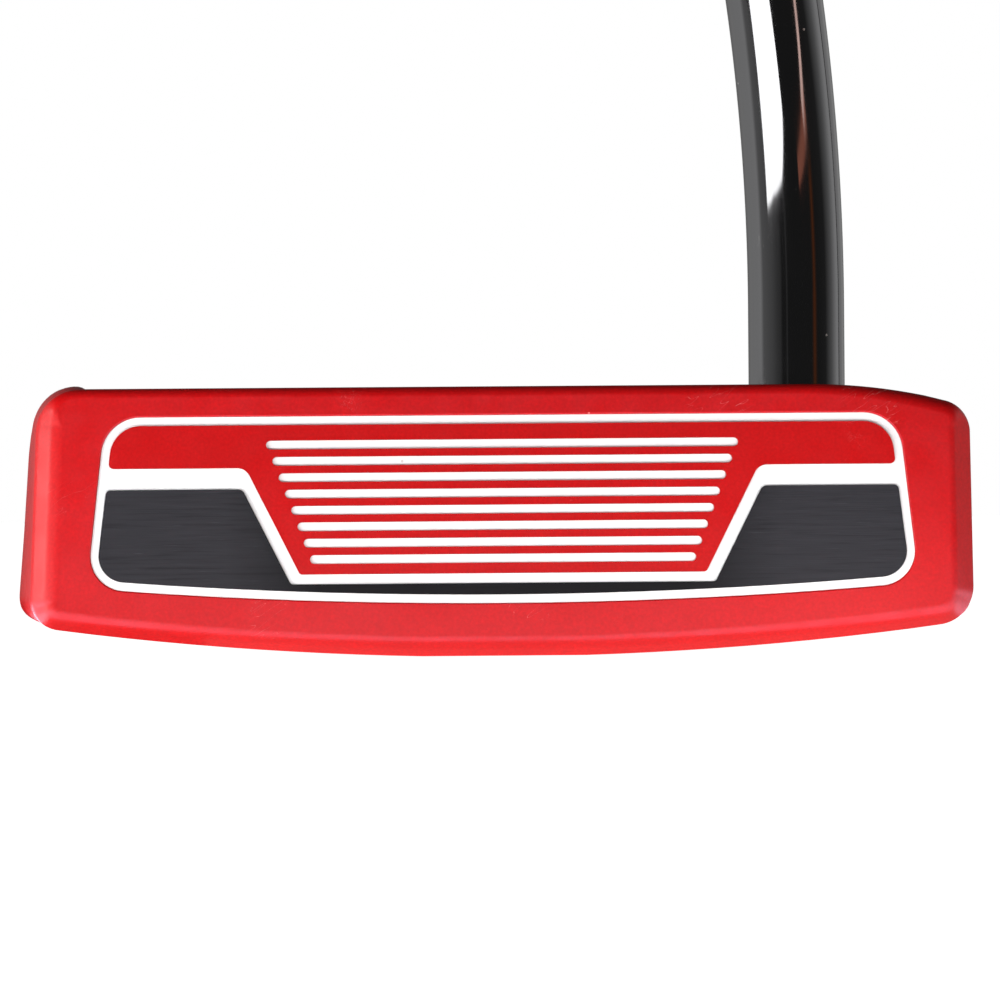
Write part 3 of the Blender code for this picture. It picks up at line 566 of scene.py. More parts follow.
def brushed_black(name, along="x"):
    """Black anodised plate, brushed along one axis, with a few brighter hairs; brushed along x, it gets
    painted shade towards the middle of the face.
    """
    colour = (0.0320, 0.0310, 0.0370)
    finish = Finish(name, colour, 0.46, Specular_IOR_Level=0.28)
    fine = (0.0038, 0.004, 0.00011) if along == "x" else (0.00011, 0.0045, 0.004)
    coarse = (0.0070, 0.004, 0.00030) if along == "x" else (0.00030, 0.0080, 0.004)
    hair = finish.noise(fine, detail=2.0)
    stroke = finish.noise(coarse, detail=2.0)
    bright = finish.span(hair, 0.66, 0.76)
    dark = finish.span(stroke, 0.30, 0.42, 1.0, 0.0)
    tone = finish.cloudy(stroke, colour, 0.90, 1.10)
    tone = finish.mix(finish.times(bright, 0.55), tone, shade(colour, 2.6))
    tone = finish.mix(finish.times(dark, 0.35), tone, shade(colour, 0.45))
    if along == "x":
        # painted shade: the face's plate darkens towards the middle, between the diagonals
        middle = finish.span(finish.calc("ABSOLUTE", finish.axis("X")), 0.018, 0.027, 0.85, 0.0)
        tone = finish.mix(middle, tone, shade(colour, 0.3))
    speck = finish.span(finish.cells(0.0036), 0.014, 0.022, 0.5, 0.0)
    return finish.done(finish.mix(speck, tone, (0.22, 0.22, 0.23)), finish.spread(hair, 0.38, 0.55),
                       (hair, 0.00002), (stroke, 0.00002))


def white_polymer():
    """Moulded white plastic with faint handling marks."""
    finish = Finish("white_polymer_look", (0.94, 0.94, 0.94), 0.42)
    smudge = finish.span(finish.noise(0.004, detail=4.0), 0.55, 0.78)
    speck = finish.span(finish.cells(0.004), 0.030, 0.045, 0.5, 0.0)
    tone = finish.mix(finish.times(smudge, 0.35), (0.95, 0.95, 0.955), (0.80, 0.83, 0.86))
    tone = finish.mix(speck, tone, (0.45, 0.42, 0.40))
    return finish.done(tone, finish.spread(finish.noise(0.002), 0.36, 0.50),
                       (finish.noise(0.0005), 0.000006))


def black_chrome():
    """Dark plated steel: mirror smooth, with dust specks and hair scratches."""
    colour = (0.135, 0.135, 0.138)
    finish = Finish("black_chrome_look", colour, 0.07, 1.0)
    dust = finish.span(finish.cells(0.0026), 0.042, 0.056, 0.8, 0.0)
    gate = finish.span(finish.noise(0.012, detail=1.0), 0.58, 0.68)
    hair = finish.near(finish.noise((0.0009, 0.0009, 0.009), detail=1.0), 0.5, 0.003)
    scratch = finish.times(finish.times(gate, hair), 0.5)
    marks = finish.most(dust, scratch)
    haze = finish.span(finish.noise(0.009), 0.35, 0.75, 0.055, 0.11)
    tone = finish.mix(marks, colour, (0.62, 0.60, 0.58))
    return finish.done(tone, finish.most(haze, finish.times(marks, 0.5)),
                       (finish.noise((0.0012, 0.0012, 0.020), detail=1.0), 0.0000012))


def turned_steel():
    """Machined steel with concentric tool marks about the local Z axis."""
    finish = Finish("turned_steel_look", (0.56, 0.56, 0.57), 0.28, 1.0)
    kind = "ShaderNodeVectorMath"
    flat = finish.node(kind, {0: finish.place, 1: (1.0, 1.0, 0.0)}, operation="MULTIPLY").outputs[0]
    radius = finish.node(kind, {0: flat}, operation="LENGTH").outputs["Value"]
    rings = finish.calc("SINE", finish.times(radius, 2 * math.pi / TOOL_MARK_PITCH))
    stain = finish.noise(0.002, detail=4.0)
    tone = finish.mix(finish.span(rings, -1.0, 1.0), (0.47, 0.47, 0.48), (0.62, 0.62, 0.63))
    stained = finish.span(stain, 0.55, 0.75, 0.0, 0.5)
    return finish.done(finish.mix(stained, tone, (0.33, 0.31, 0.29)), finish.spread(stain, 0.22, 0.40),
                       (rings, 0.000004), (stain, 0.00001))


def grip_rubber():
    """Matt black rubber, greyer where hands have polished it, with dust in the pores."""
    colour = (0.022, 0.022, 0.024)
    finish = Finish("grip_rubber_look", colour, 0.72, Specular_IOR_Level=0.35)
    worn = finish.span(finish.noise((0.012, 0.012, 0.05)), 0.42, 0.68)
    pore = finish.noise(0.00035)
    dust = finish.span(finish.noise(0.0012, detail=4.0), 0.60, 0.75, 0.0, 0.35)
    tone = finish.mix(worn, colour, (0.040, 0.040, 0.043))
    tone = finish.mix(finish.spread(pore, 0.0, 0.5), tone, shade(colour, 0.55))
    tone = finish.mix(dust, tone, (0.085, 0.080, 0.075))
    return finish.done(tone, finish.span(worn, 0.0, 1.0, 0.80, 0.56),
                       (pore, 0.00004), (finish.noise(0.0016, detail=2.0), 0.00003))


def plain_finish(name, colour, roughness, grain, relief):
    """A matt or satin finish with cloudy tone and grain of the given size."""
    finish = Finish(name, colour, roughness)
    cloud = finish.noise(grain * 12, detail=4.0)
    fine = finish.noise(grain)
    tone = finish.cloudy(cloud, colour, 0.75, 1.25)
    tone = finish.mix(finish.spread(fine, 0.0, 0.4), tone, shade(colour, 0.6))
    return finish.done(tone, finish.spread(cloud, roughness * 0.85, min(roughness * 1.15, 1.0)),
                       (fine, relief))


def banded_film():
    """Printed film round the shaft: plain red with two pale rings."""
    finish = Finish("band_film_look", (0.46, 0.010, 0.012), 0.30)
    middle = -(BAND_TOP + BAND_FOOT) / 2
    away = finish.calc("ABSOLUTE", finish.calc("SUBTRACT", finish.axis("Z"), middle))
    ring = finish.span(finish.near(away, RING_FROM_MIDDLE, RING_HALF_WIDTH), 0.35, 0.45)
    cloud = finish.noise(0.004, detail=4.0)
    tone = finish.mix(finish.spread(cloud), (0.40, 0.008, 0.010), (0.52, 0.014, 0.016))
    return finish.done(finish.mix(ring, tone, (0.82, 0.82, 0.80)), finish.spread(cloud, 0.24, 0.40),
                       (finish.noise(0.0006), 0.000008))


# ---- head ----
def sole_height(x):
    over = max(abs(x) - SOLE_FLAT, 0.0)
    return over * over / (2 * SOLE_RADIUS) + over * SOLE_FLAT / SOLE_RADIUS


def side_reach(side, z):
    return (SIDE_HEIGHT - z) * SIDE_SLOPE[side]


def crown_height(side, reach):
    over = max(reach - CROWN_FLAT[side], 0.0)
    return CROWN_HEIGHT - over * over / (2 * CROWN_FALL_RADIUS)


def half_outline(side):
    """One end of the face block in front view, from the sole to the crown, as if at the heel."""
    sole_x = HEAD_HALF_WIDTH + side_reach(side, sole_height(HEAD_HALF_WIDTH))
    crown_x = HEAD_HALF_WIDTH + side_reach(side, crown_height(side, HEAD_HALF_WIDTH))
    run = (sole_x - SOLE_FLAT) / 12
    half = [(x, sole_height(x), 0.0) for x in (SOLE_FLAT + run * k for k in range(11))]
    half += [(sole_x, sole_height(sole_x), SOLE_CORNER[side]),
             (crown_x, crown_height(side, crown_x), CROWN_CORNER[side])]
    level = CROWN_FLAT[side]
    fall = (crown_x - CROWN_CORNER[side] - level) / 10
    spots = [level + fall * k for k in range(9, -1, -1)]
    return half + [(x, crown_height(side, x), 0.0) for x in spots]


def block_outline():
    """Front view of the face block, counter-clockwise from the middle of the sole."""
    return round_polygon(half_outline("heel") + flipped(half_outline("toe")), steps=20)


def edge_profile(front_radius, side_radius):
    """Section across the face's edge, from the face to the side wall, as (inset, depth)."""
    far = 2 * EDGE_REACH
    corners = [(far, far, 0.0), (0.0, far, 0.0), (0.0, FACET_DEPTH, side_radius),
               (EDGE_REACH, 0.0, front_radius), (far, 0.0, 0.0)]
    return round_polygon(corners, steps=8)[2:-1][::-1]


def block_rings(outline, inset=0.0):
    """Rings of the face block, from its front to its back, shrunk by the inset."""
    count = len(outline)
    normals = []
    for i in range(count):
        along = Vector(outline[(i + 1) % count]) - Vector(outline[i - 1])
        normals.append(Vector((along.y, -along.x)).normalized())
    scales = []
    for (x, _), normal in zip(outline, normals):
        foot = 1 + (FOOT_SCALE - 1) * blend(-normal.y, *FOOT_TURN)
        crown = CROWN_SCALE + (HEEL_CROWN_SCALE - CROWN_SCALE) * blend(x, *HEEL_CROWN_SPREAD)
        scales.append(foot + (crown - foot) * blend(normal.y, *CROWN_TURN))

    def ring(spots):
        points = []
        for (x, z), normal, (side_inset, depth) in zip(outline, normals, spots):
            x -= normal.x * (side_inset + inset)
            z -= normal.y * (side_inset + inset)
            x *= 1 + SIDE_FLARE * depth
            points.append((x, FACE_Y + depth + z * math.tan(LOFT), z + BLOCK_LIFT))
        return points

    rings = []
    profiles = [edge_profile(*radii) for radii in (CRISP_EDGE, SOFT_EDGE, FOOT_EDGE, CROWN_EDGE)]
    for crisp, soft, foot, crown in zip(*profiles):
        spots = []
        for (x, _), normal, scale in zip(outline, normals, scales):
            spot = Vector(crisp).lerp(Vector(soft), blend(-x, *SOFT_SPREAD))
            spot = spot.lerp(Vector(foot), blend(-normal.y, *FOOT_TURN))
            spot = spot.lerp(Vector(crown), blend(normal.y, *CROWN_TURN)) * scale
            spots.append((spot.x, spot.y + inset))
        rings.append(ring(spots))
    back = BLOCK_DEPTH - inset
    rings.append(ring([(0.0, back - BACK_CHAMFER)] * count))
    rings.append(ring([(BACK_CHAMFER, back)] * count))
    return rings


def rail_outline(u):
    """Plan of the rails' outer edge: u runs from -2 (toe, at the block) to 2 (heel)."""
    side = -1 if u < 0 else 1
    u = abs(u)
    if u > 1:
        depth = RAIL_WIDEST + (RAIL_START - RAIL_WIDEST) * (u - 1)
        start = HEAD_HALF_WIDTH * (1 + SIDE_FLARE * RAIL_START) - RAIL_TUCK
        rise = math.sin(math.pi / 2 * (depth - RAIL_START) / (RAIL_WIDEST - RAIL_START))
        return Vector((side * (start + (RAIL_HALF_WIDTH - start) * rise), depth))
    angle = math.pi / 2 * u
    power = 2 / RAIL_SQUARENESS
    x = RAIL_HALF_WIDTH * math.sin(angle) ** power
    depth = RAIL_WIDEST + (HEAD_DEPTH - RAIL_WIDEST) * max(math.cos(angle), 0.0) ** power
    return Vector((side * x, depth))


def rail_crest(side, depth):
    rise = blend(depth, *CREST_RISE)
    fall = blend(depth, CREST_FALL, HEAD_DEPTH)
    high = RAIL_CREST_AT_BLOCK + (RAIL_CREST[side] - RAIL_CREST_AT_BLOCK) * rise
    return high + (REAR_CREST - high) * fall


def rear_lift(depth):
    return REAR_SOLE_LIFT * blend(depth, REAR_LIFT_START, HEAD_DEPTH)


def rails():
    """The two side rails and the rear bridge, as one bar swept round the head."""
    stations = [i / RAIL_STATIONS for i in range(-2 * RAIL_STATIONS, 2 * RAIL_STATIONS + 1)]
    rings = []
    for u in stations:
        here = rail_outline(u)
        along = rail_outline(min(u + 0.01, 2)) - rail_outline(max(u - 0.01, -2))
        outward = Vector((-along.y, along.x)).normalized()
        low = sole_height(here.x) + 2 * BLOCK_LIFT + rear_lift(here.y)
        side = "toe" if u < 0 else "heel"
        high = rail_crest(side, here.y)
        section = round_polygon([(-RAIL_THICKNESS, low, RAIL_FOOT_ROUND), (0.0, low, RAIL_ROUND),
                                 (0.0, high, RAIL_SHOULDER), (-RAIL_THICKNESS, high, RAIL_FOOT_ROUND)],
                                steps=8)
        sideness = blend(abs(u), *SIDE_START)
        ring = []
        for across, z in section:
            lean_in = RAIL_LEAN * blend(z, *LEAN_RISE)
            spot = here + outward * (across + (side_reach(side, z) - lean_in) * sideness)
            ring.append((spot.x, FACE_Y + spot.y, z))
        rings.append(ring)
    return loft(bmesh.new(), rings)


def deck():
    """The low centre deck between the block and the rear bridge."""
    stations = [BLOCK_DEPTH - JOIN]
    stations += [REAR_LIFT_START + (DECK_END - REAR_LIFT_START) * k / 12 for k in range(13)]
    rings = []
    for depth in stations:
        half = [(DECK_HALF_WIDTH, rear_lift(depth), DECK_ROUND), (DECK_HALF_WIDTH, DECK_TOP, DECK_ROUND)]
        section = round_polygon(mirrored(half), steps=6)
        rings.append([(x, FACE_Y + depth, z) for x, z in section])
    return loft(bmesh.new(), rings)


def weight_pad(name, side):
    """The pad that holds a sole weight, tied to the block and the rail."""
    width = PAD_OUTER - PAD_INNER
    spots = [PAD_INNER + width * k / 10 for k in range(11)]
    foot = [(x, sole_height(x) + 2 * BLOCK_LIFT, 0.0) for x in spots]
    front = foot + [(PAD_OUTER, PAD_TOP, 0.0), (PAD_INNER, PAD_TOP, 0.0010)]
    front_y, rear_y = FACE_Y + BLOCK_DEPTH - JOIN, FACE_Y + PAD_REAR
    plan = [(PAD_INNER, front_y - JOIN, 0.0), (PAD_OUTER + JOIN, front_y - JOIN, 0.0),
            (PAD_OUTER + JOIN, rear_y, 0.0), (PAD_INNER, rear_y, PAD_CORNER)]
    if side < 0:
        front, plan = flipped(front), flipped(plan)
    pad = add_piece(f"{name}_pad", flat_solid([round_polygon(front)], front_y, rear_y + JOIN))
    trim = flat_solid([round_polygon(plan, steps=24)], -JOIN, PAD_TOP + JOIN, "deck")
    return combine(pad, [add_piece(f"{name}_trim", trim)], "INTERSECT")


def shaft_boss():
    """The raised collar that the shaft stands in."""
    low = sole_height(SHAFT_FOOT_CENTRE.x) + BOSS_FOOT_ROUND
    profile = [(BOSS_RADIUS - BOSS_FOOT_ROUND, low), (BOSS_RADIUS, low + BOSS_FOOT_ROUND),
               (BOSS_RADIUS, BOSS_TOP - BOSS_TOP_ROUND), (BOSS_RADIUS - BOSS_TOP_ROUND, BOSS_TOP)]
    return turned(profile, SHAFT_SIDES, SHAFT_FOOT_CENTRE.xy)


def weight_matrix(side):
    x = side * WEIGHT_X
    place = Matrix.Translation((x, FACE_Y + WEIGHT_DEPTH, sole_height(x)))
    return place @ Matrix.Rotation(-x / SOLE_RADIUS, 4, "Y")


def plate_outline(inset=0.0):
    half = [(PLATE_X, FACE_Y + depth, PLATE_CORNER) for depth in (PLATE_FRONT, PLATE_REAR)]
    return round_polygon(mirrored(half), inset)


def rear_shape(outline):
    """Rails, deck, boss and pads in one, with the corners between them blended as in a casting."""
    rear = add_piece("rear", rails())
    parts = [add_piece("deck_bar", deck()), add_piece("boss", shaft_boss()),
             add_piece("inner_block", loft(bmesh.new(), block_rings(outline, TUCK)))]
    parts += [weight_pad(name, side) for name, side in SIDES.items()]
    combine(rear, parts, "UNION")
    remesh = rear.modifiers.new("grid", "REMESH")
    remesh.mode = "VOXEL"
    remesh.voxel_size = VOXEL
    smooth = rear.modifiers.new("smooth", "SMOOTH")
    smooth.factor = 0.5
    smooth.iterations = SMOOTHING
    return settle(rear)


def insert_cutter():
    """The insert's pocket, flared a little where it meets the face."""
    flare = 0.00012
    loops = [(round_polygon(insert_outline(), -3 * flare), -2 * flare),
             (round_polygon(insert_outline()), flare), (round_polygon(insert_outline()), INSERT_DEPTH)]
    return loft(bmesh.new(), [[(x, depth, z) for x, z in loop] for loop, depth in loops])


def head_cutters(face):
    """The insert's pocket, the shaft's bore, the plate's tray and the weights' holes."""
    lip = 0.0002
    bore = [(BORE_POCKET_RADIUS, SHAFT_FOOT - GAP), (BORE_POCKET_RADIUS, BORE_MOUTH_FOOT),
            (BORE_MOUTH_RADIUS, BORE_MOUTH_FOOT + 0.0004), (BORE_MOUTH_RADIUS, CROWN_HEIGHT - lip),
            (BORE_MOUTH_RADIUS + 2 * lip, CROWN_HEIGHT + lip)]
    floor = DECK_TOP - DECK_PLATE_THICKNESS - GAP
    stem_top = WEIGHT_SINK + WEIGHT_HEAD_HEIGHT + WEIGHT_STEM_HEIGHT + GAP
    wide, narrow = WEIGHT_HEAD_RADIUS + GAP, WEIGHT_STEM_RADIUS + GAP
    hole = [(wide + 0.0005, -0.0003), (wide, 0.0002), (wide, WEIGHT_SEAT), (narrow, WEIGHT_SEAT),
            (narrow, stem_top)]
    cutters = [add_piece("cut_insert", insert_cutter(), face),
               add_piece("cut_bore", turned(bore, SHAFT_SIDES, SHAFT_FOOT_CENTRE.xy)),
               add_piece("cut_plate", flat_solid([plate_outline()], floor, DECK_TOP + 0.003, "deck"))]
    return cutters + [add_piece(f"cut_{name}", turned(hole), weight_matrix(side))
                      for name, side in SIDES.items()]


def make_head(material, face):
    outline = block_outline()
    head = add_piece("head_shell", loft(bmesh.new(), block_rings(outline)))
    combine(head, [rear_shape(outline)], "UNION", "MANIFOLD")
    combine(head, head_cutters(face), "DIFFERENCE", "MANIFOLD")
    return dress(head, "red_enamel", material, "head_body", smooth=30)


# ---- face insert ----
def outline_x(z):
    return OUTLINE_HALF_WIDTH + (OUTLINE_HEIGHT - z) * OUTLINE_SLOPE


def outline_foot(x):
    return OUTLINE_FOOT + x * x / (2 * OUTLINE_FOOT_RADIUS)


def foot_points(corner_x, rise=0.0):
    return [(x, outline_foot(x) + rise, 0.0) for x in (corner_x * k / 12 for k in range(11))]


def insert_outline():
    corner_x = outline_x(outline_foot(outline_x(OUTLINE_FOOT)))
    return mirrored(foot_points(corner_x) + [(corner_x, outline_foot(corner_x), OUTLINE_FOOT_CORNER),
                                             (outline_x(OUTLINE_TOP), OUTLINE_TOP, OUTLINE_TOP_CORNER)])


def inner_x(z):
    return outline_x(z) - OUTLINE_BAND * math.hypot(1.0, OUTLINE_SLOPE)


def diagonal_x(z):
    return DIAGONAL_X + (z - DIAGONAL_HEIGHT) * DIAGONAL_SLOPE


def red_outline():
    top = OUTLINE_TOP - OUTLINE_BAND
    return mirrored([(diagonal_x(TRAY_HIGH) - DIAGONAL_WIDTH, TRAY_HIGH, TRAY_CORNER),
                     (diagonal_x(BAND_HIGH) - DIAGONAL_WIDTH, BAND_HIGH, BAND_TURN["red"]),
                     (inner_x(BAND_HIGH), BAND_HIGH, BAND_CORNER),
                     (inner_x(top), top, OUTLINE_TOP_CORNER - OUTLINE_BAND)])


def black_outline():
    corner_x = inner_x(outline_foot(inner_x(OUTLINE_FOOT)))
    corner_z = outline_foot(corner_x) + OUTLINE_BAND
    return mirrored(foot_points(corner_x, OUTLINE_BAND)
                    + [(corner_x, corner_z, OUTLINE_FOOT_CORNER - OUTLINE_BAND),
                       (inner_x(BAND_LOW), BAND_LOW, BAND_CORNER),
                       (diagonal_x(BAND_LOW), BAND_LOW, BAND_TURN["black"]),
                       (diagonal_x(TRAY_LOW), TRAY_LOW, TRAY_CORNER)])


def face_lines(grow=0.0):
    bars = []
    for k in range(LINE_COUNT):
        half = LINE_HALF_LENGTH - LINE_SHORTER * k + grow
        bars.append(stadium((0.0, LINE_TOP - LINE_PITCH * k), half, LINE_THICKNESS + 2 * grow))
    return bars


def plate_loops(name, gap=0.0):
    """Outlines of a plate in the face, and of the lines through it, a gap away from the white."""
    if name == "red":
        return [round_polygon(red_outline(), gap)] + face_lines(gap)
    return [round_polygon(black_outline(), gap)]


def make_insert(looks, face):
    """The white moulding that shows as outline, band, diagonals and lines, and its two plates."""
    floor = PLATE_THICKNESS + HAIRLINE
    moulding = flat_solid([round_polygon(insert_outline(), HAIRLINE)], RIB_SINK, floor + CORE_BACK)
    core = add_piece("insert_moulding", moulding, face)
    plates = (("red", "red_plate", looks["red_plate"]), ("black", "brushed_black", looks["black"]))
    cutters = [add_piece(f"cut_{name}", flat_solid(plate_loops(name), RIB_SINK - JOIN, floor), face)
               for name, _, _ in plates]
    combine(core, cutters, "DIFFERENCE")
    dress(core, "white_polymer", looks["white"], "insert_core")
    for name, slot, look in plates:
        plate = flat_solid(plate_loops(name, HAIRLINE), 0.0, PLATE_THICKNESS)
        make_inlay(f"face_inlay_{name}", plate, slot, look, f"face_plate_{name}", face)


# ---- deck inlays and sole weights ----
def make_deck_inlays(looks):
    foot = DECK_TOP - DECK_PLATE_THICKNESS
    slots = []
    for name, width in SIGHT_WIDTHS.items():
        low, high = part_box(name)
        middle = ((low.x + high.x) / 2, (low.y + high.y) / 2)
        half = (high.y - low.y) / 2
        slots.append(stadium(middle, half + HAIRLINE, width + 2 * HAIRLINE, along_x=False))
        bar = flat_solid([stadium(middle, half, width, along_x=False)], foot, high.z, "deck")
        make_inlay(f"{name}_inlay", bar, "white_polymer", looks["white"], name)
    plate = flat_solid([plate_outline(PLATE_GAP)] + slots, foot, DECK_TOP, "deck")
    make_inlay("deck_plate_inlay", plate, "brushed_black", looks["deck_black"], "deck_plate")


def make_weights(looks):
    foot = WEIGHT_SINK
    shoulder = foot + WEIGHT_HEAD_HEIGHT
    top = shoulder + WEIGHT_STEM_HEIGHT
    rim = WEIGHT_HEAD_RADIUS
    profile = [(SOCKET_FLAT, foot), (RING_INNER, foot), (RING_INNER + RING_DEPTH, foot + RING_DEPTH),
               (RING_OUTER - RING_DEPTH, foot + RING_DEPTH), (RING_OUTER, foot),
               (rim - WEIGHT_ROUND, foot), (rim - 0.3 * WEIGHT_ROUND, foot + 0.3 * WEIGHT_ROUND),
               (rim, foot + WEIGHT_ROUND), (rim, shoulder - 0.0002), (rim - 0.0002, shoulder),
               (WEIGHT_STEM_RADIUS, shoulder)]
    for k in range(THREAD_TURNS):
        start = shoulder + 0.0002 + THREAD_PITCH * k
        profile += [(WEIGHT_STEM_RADIUS, start),
                    (WEIGHT_STEM_RADIUS - THREAD_DEPTH, start + THREAD_PITCH / 2)]
    profile += [(WEIGHT_STEM_RADIUS, top - 0.0004), (WEIGHT_STEM_RADIUS - 0.0006, top)]
    for name, side in SIDES.items():
        matrix = weight_matrix(side)
        weight = add_piece(f"{name}_weight_screw", turned(profile), matrix)
        socket = turned([(SOCKET_RADIUS + 0.0004, foot - 0.0002), (SOCKET_RADIUS, foot + 0.0002),
                         (SOCKET_RADIUS, foot + SOCKET_DEPTH)], 6)
        combine(weight, [add_piece("cut_socket", socket, matrix)], "DIFFERENCE")
        dress(weight, "weight_steel", looks["steel"], f"{name}_weight")


# ---- shaft ----
def shaft_radius(from_butt):
    """Outer radius: a parallel tip, then smooth steps up to the butt."""
    growth = (BUTT_RADIUS - TIP_RADIUS) / STEP_COUNT
    radius = TIP_RADIUS
    for k in range(STEP_COUNT):
        mark = FIRST_STEP + STEP_PITCH * k
        radius += growth * blend(mark + STEP_LENGTH / 2 - from_butt, 0.0, STEP_LENGTH)
    return radius


def lean(sideways, forward):
    return Vector((math.tan(sideways), -math.tan(forward), 1.0)).normalized()


def shaft_route():
    """Centre points and directions through the bends."""
    up = Vector((0, 0, 1))
    between = lean(-TOEWARD, FORWARD)
    here = Vector((*SHAFT_FOOT_CENTRE.xy, SHAFT_FOOT))
    route = [(here.copy(), up)]
    here.z = BEND_START
    route.append((here.copy(), up))
    count = BEND_RINGS * BEND_FINENESS
    for start, end, length in ((up, between, LOWER_BEND), (between, SHAFT_AXIS, UPPER_BEND)):
        turn = start.rotation_difference(end)
        for step in range(count):
            heading = start.copy()
            heading.rotate(Matrix.Rotation(turn.angle * (step + 0.5) / count, 3, turn.axis))
            here += heading * length / count
            if step % BEND_FINENESS == BEND_FINENESS - 1:
                route.append((here.copy(), heading))
    return route


def tube_ring(middle, direction, radius, sides=SHAFT_SIDES):
    axis = direction.normalized()
    spin = Vector((0, 1, 0))
    across = (spin - axis * spin.dot(axis)).normalized()
    other = axis.cross(across)
    angles = [2 * math.pi * k / sides for k in range(sides)]
    return [middle + across * radius * math.cos(a) + other * radius * math.sin(a) for a in angles]


def make_shaft(look, butt):
    stations = [(middle, heading, TIP_RADIUS) for middle, heading in shaft_route()]
    for k in reversed(range(STEP_COUNT)):
        mark = FIRST_STEP + STEP_PITCH * k
        for share in (1.2, 0.5, 0.25, 0.0, -0.25, -0.5, -1.2):
            from_butt = mark + STEP_LENGTH * share
            stations.append((butt - SHAFT_AXIS * from_butt, SHAFT_AXIS, shaft_radius(from_butt)))
    stations.append((butt - SHAFT_AXIS * SHAFT_TOP, SHAFT_AXIS, BUTT_RADIUS))
    outer = [tube_ring(*station) for station in stations]
    inner = [tube_ring(c, d, r - SHAFT_WALL) for c, d, r in reversed(stations)]
    shaft = add_piece("shaft_tube", loft(bmesh.new(), outer + inner, closed=True))
    return dress(shaft, "black_chrome", look, "shaft", smooth=50)


def make_bond(look):
    """The epoxy sleeve, with a thin meniscus just under the crown."""
    low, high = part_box("shaft_bond")
    inner = TIP_RADIUS + HAIRLINE
    outer = (high.x - low.x) / 2
    mouth = BORE_MOUTH_RADIUS - HAIRLINE
    profile = [(inner, low.z), (outer, low.z), (outer, high.z), (mouth, high.z + 0.0004),
               (mouth, CROWN_HEIGHT - 0.0004), (inner, CROWN_HEIGHT - 0.0003)]
    bond = add_piece("bond_sleeve", turned(profile, SHAFT_SIDES, SHAFT_FOOT_CENTRE.xy, closed=True))
    dress(bond, "epoxy", look, "shaft_bond")


# ---- grip: its own frame has +Z along the shaft to the butt and -X out of the flat front ----
def grip_size(from_butt):
    """Half width, front and back reach, on a smooth curve through the stations."""
    marks = [station[0] for station in GRIP_STATIONS]
    at = min(max(from_butt, marks[0]), marks[-1])
    k = min(max(sum(1 for mark in marks if mark <= at) - 1, 0), len(marks) - 2)
    span = marks[k + 1] - marks[k]
    t = (at - marks[k]) / span

    def slope(i, column):
        before, after = max(i - 1, 0), min(i + 1, len(marks) - 1)
        change = GRIP_STATIONS[after][column] - GRIP_STATIONS[before][column]
        return change / (marks[after] - marks[before])

    sizes = []
    for column in (1, 2, 3):
        first, last = GRIP_STATIONS[k][column], GRIP_STATIONS[k + 1][column]
        size = (2 * t ** 3 - 3 * t ** 2 + 1) * first + (3 * t ** 2 - 2 * t ** 3) * last
        size += span * (t ** 3 - 2 * t ** 2 + t) * slope(k, column)
        size += span * (t ** 3 - t ** 2) * slope(k + 1, column)
        sizes.append(size)
    return sizes


def grip_outline(half_width, front, back, count=GRIP_AROUND):
    """Section points at equal steps from the middle of the back, their marks, and the way round."""
    angles = np.linspace(0, 2 * math.pi, 1441)
    c, s = np.cos(angles), np.sin(angles)
    power = np.where(c > 0, 2 / ROUND_EXPONENT, 2 / FLAT_EXPONENT)
    reach = np.where(c > 0, back, front)
    x = np.sign(c) * reach * np.abs(c) ** power
    y = np.sign(s) * half_width * np.abs(s) ** (2 / ROUND_EXPONENT)
    walked = np.concatenate(([0.0], np.cumsum(np.hypot(np.diff(x), np.diff(y)))))
    marks = walked[-1] * np.arange(count) / count
    return np.stack([np.interp(marks, walked, x), np.interp(marks, walked, y)], axis=1), marks, walked[-1]


def tread_depth(around, length, from_butt):
    """How far the moulded pattern sinks at a place: dimples, and grooves across the flat front."""
    start, end = GRIP_TOP + PLAIN_END, GRIP_LENGTH - PLAIN_END
    ends = blend(from_butt, start, start + PLAIN_FADE) * (1 - blend(from_butt, end, end + PLAIN_FADE))
    from_front = abs(around - length / 2)
    border = math.exp(-((from_front - PANEL_HALF_WIDTH) / GROOVE_HALF_WIDTH) ** 2)
    if from_front < PANEL_HALF_WIDTH:
        phase = (from_butt % GROOVE_PITCH) - GROOVE_PITCH / 2
        groove = math.exp(-(phase / GROOVE_HALF_WIDTH) ** 2)
        groove *= blend(PANEL_HALF_WIDTH - from_front, *GROOVE_FADE)
        return max(groove, border) * DIMPLE_DEPTH * ends
    columns = max(round((length - 2 * PANEL_HALF_WIDTH) / DIMPLE_PITCH), 1)
    pitch = (length - 2 * PANEL_HALF_WIDTH) / columns
    row = round(from_butt / DIMPLE_ROW)
    place = (around + length / 2 - PANEL_HALF_WIDTH) / pitch + 0.5 * (row % 2)
    sideways = (place - round(place)) * pitch
    along = from_butt - row * DIMPLE_ROW
    dimple = 1 - blend(math.hypot(sideways, along), DIMPLE_RADIUS * 0.45, DIMPLE_RADIUS)
    return max(dimple, border) * DIMPLE_DEPTH * ends


def collar_depth(from_butt):
    """Two ring grooves in the smooth collar at each end."""
    return COLLAR_DEPTH * max(math.exp(-((from_butt - mark) / COLLAR_HALF_WIDTH) ** 2)
                              for mark in COLLAR_MARKS)


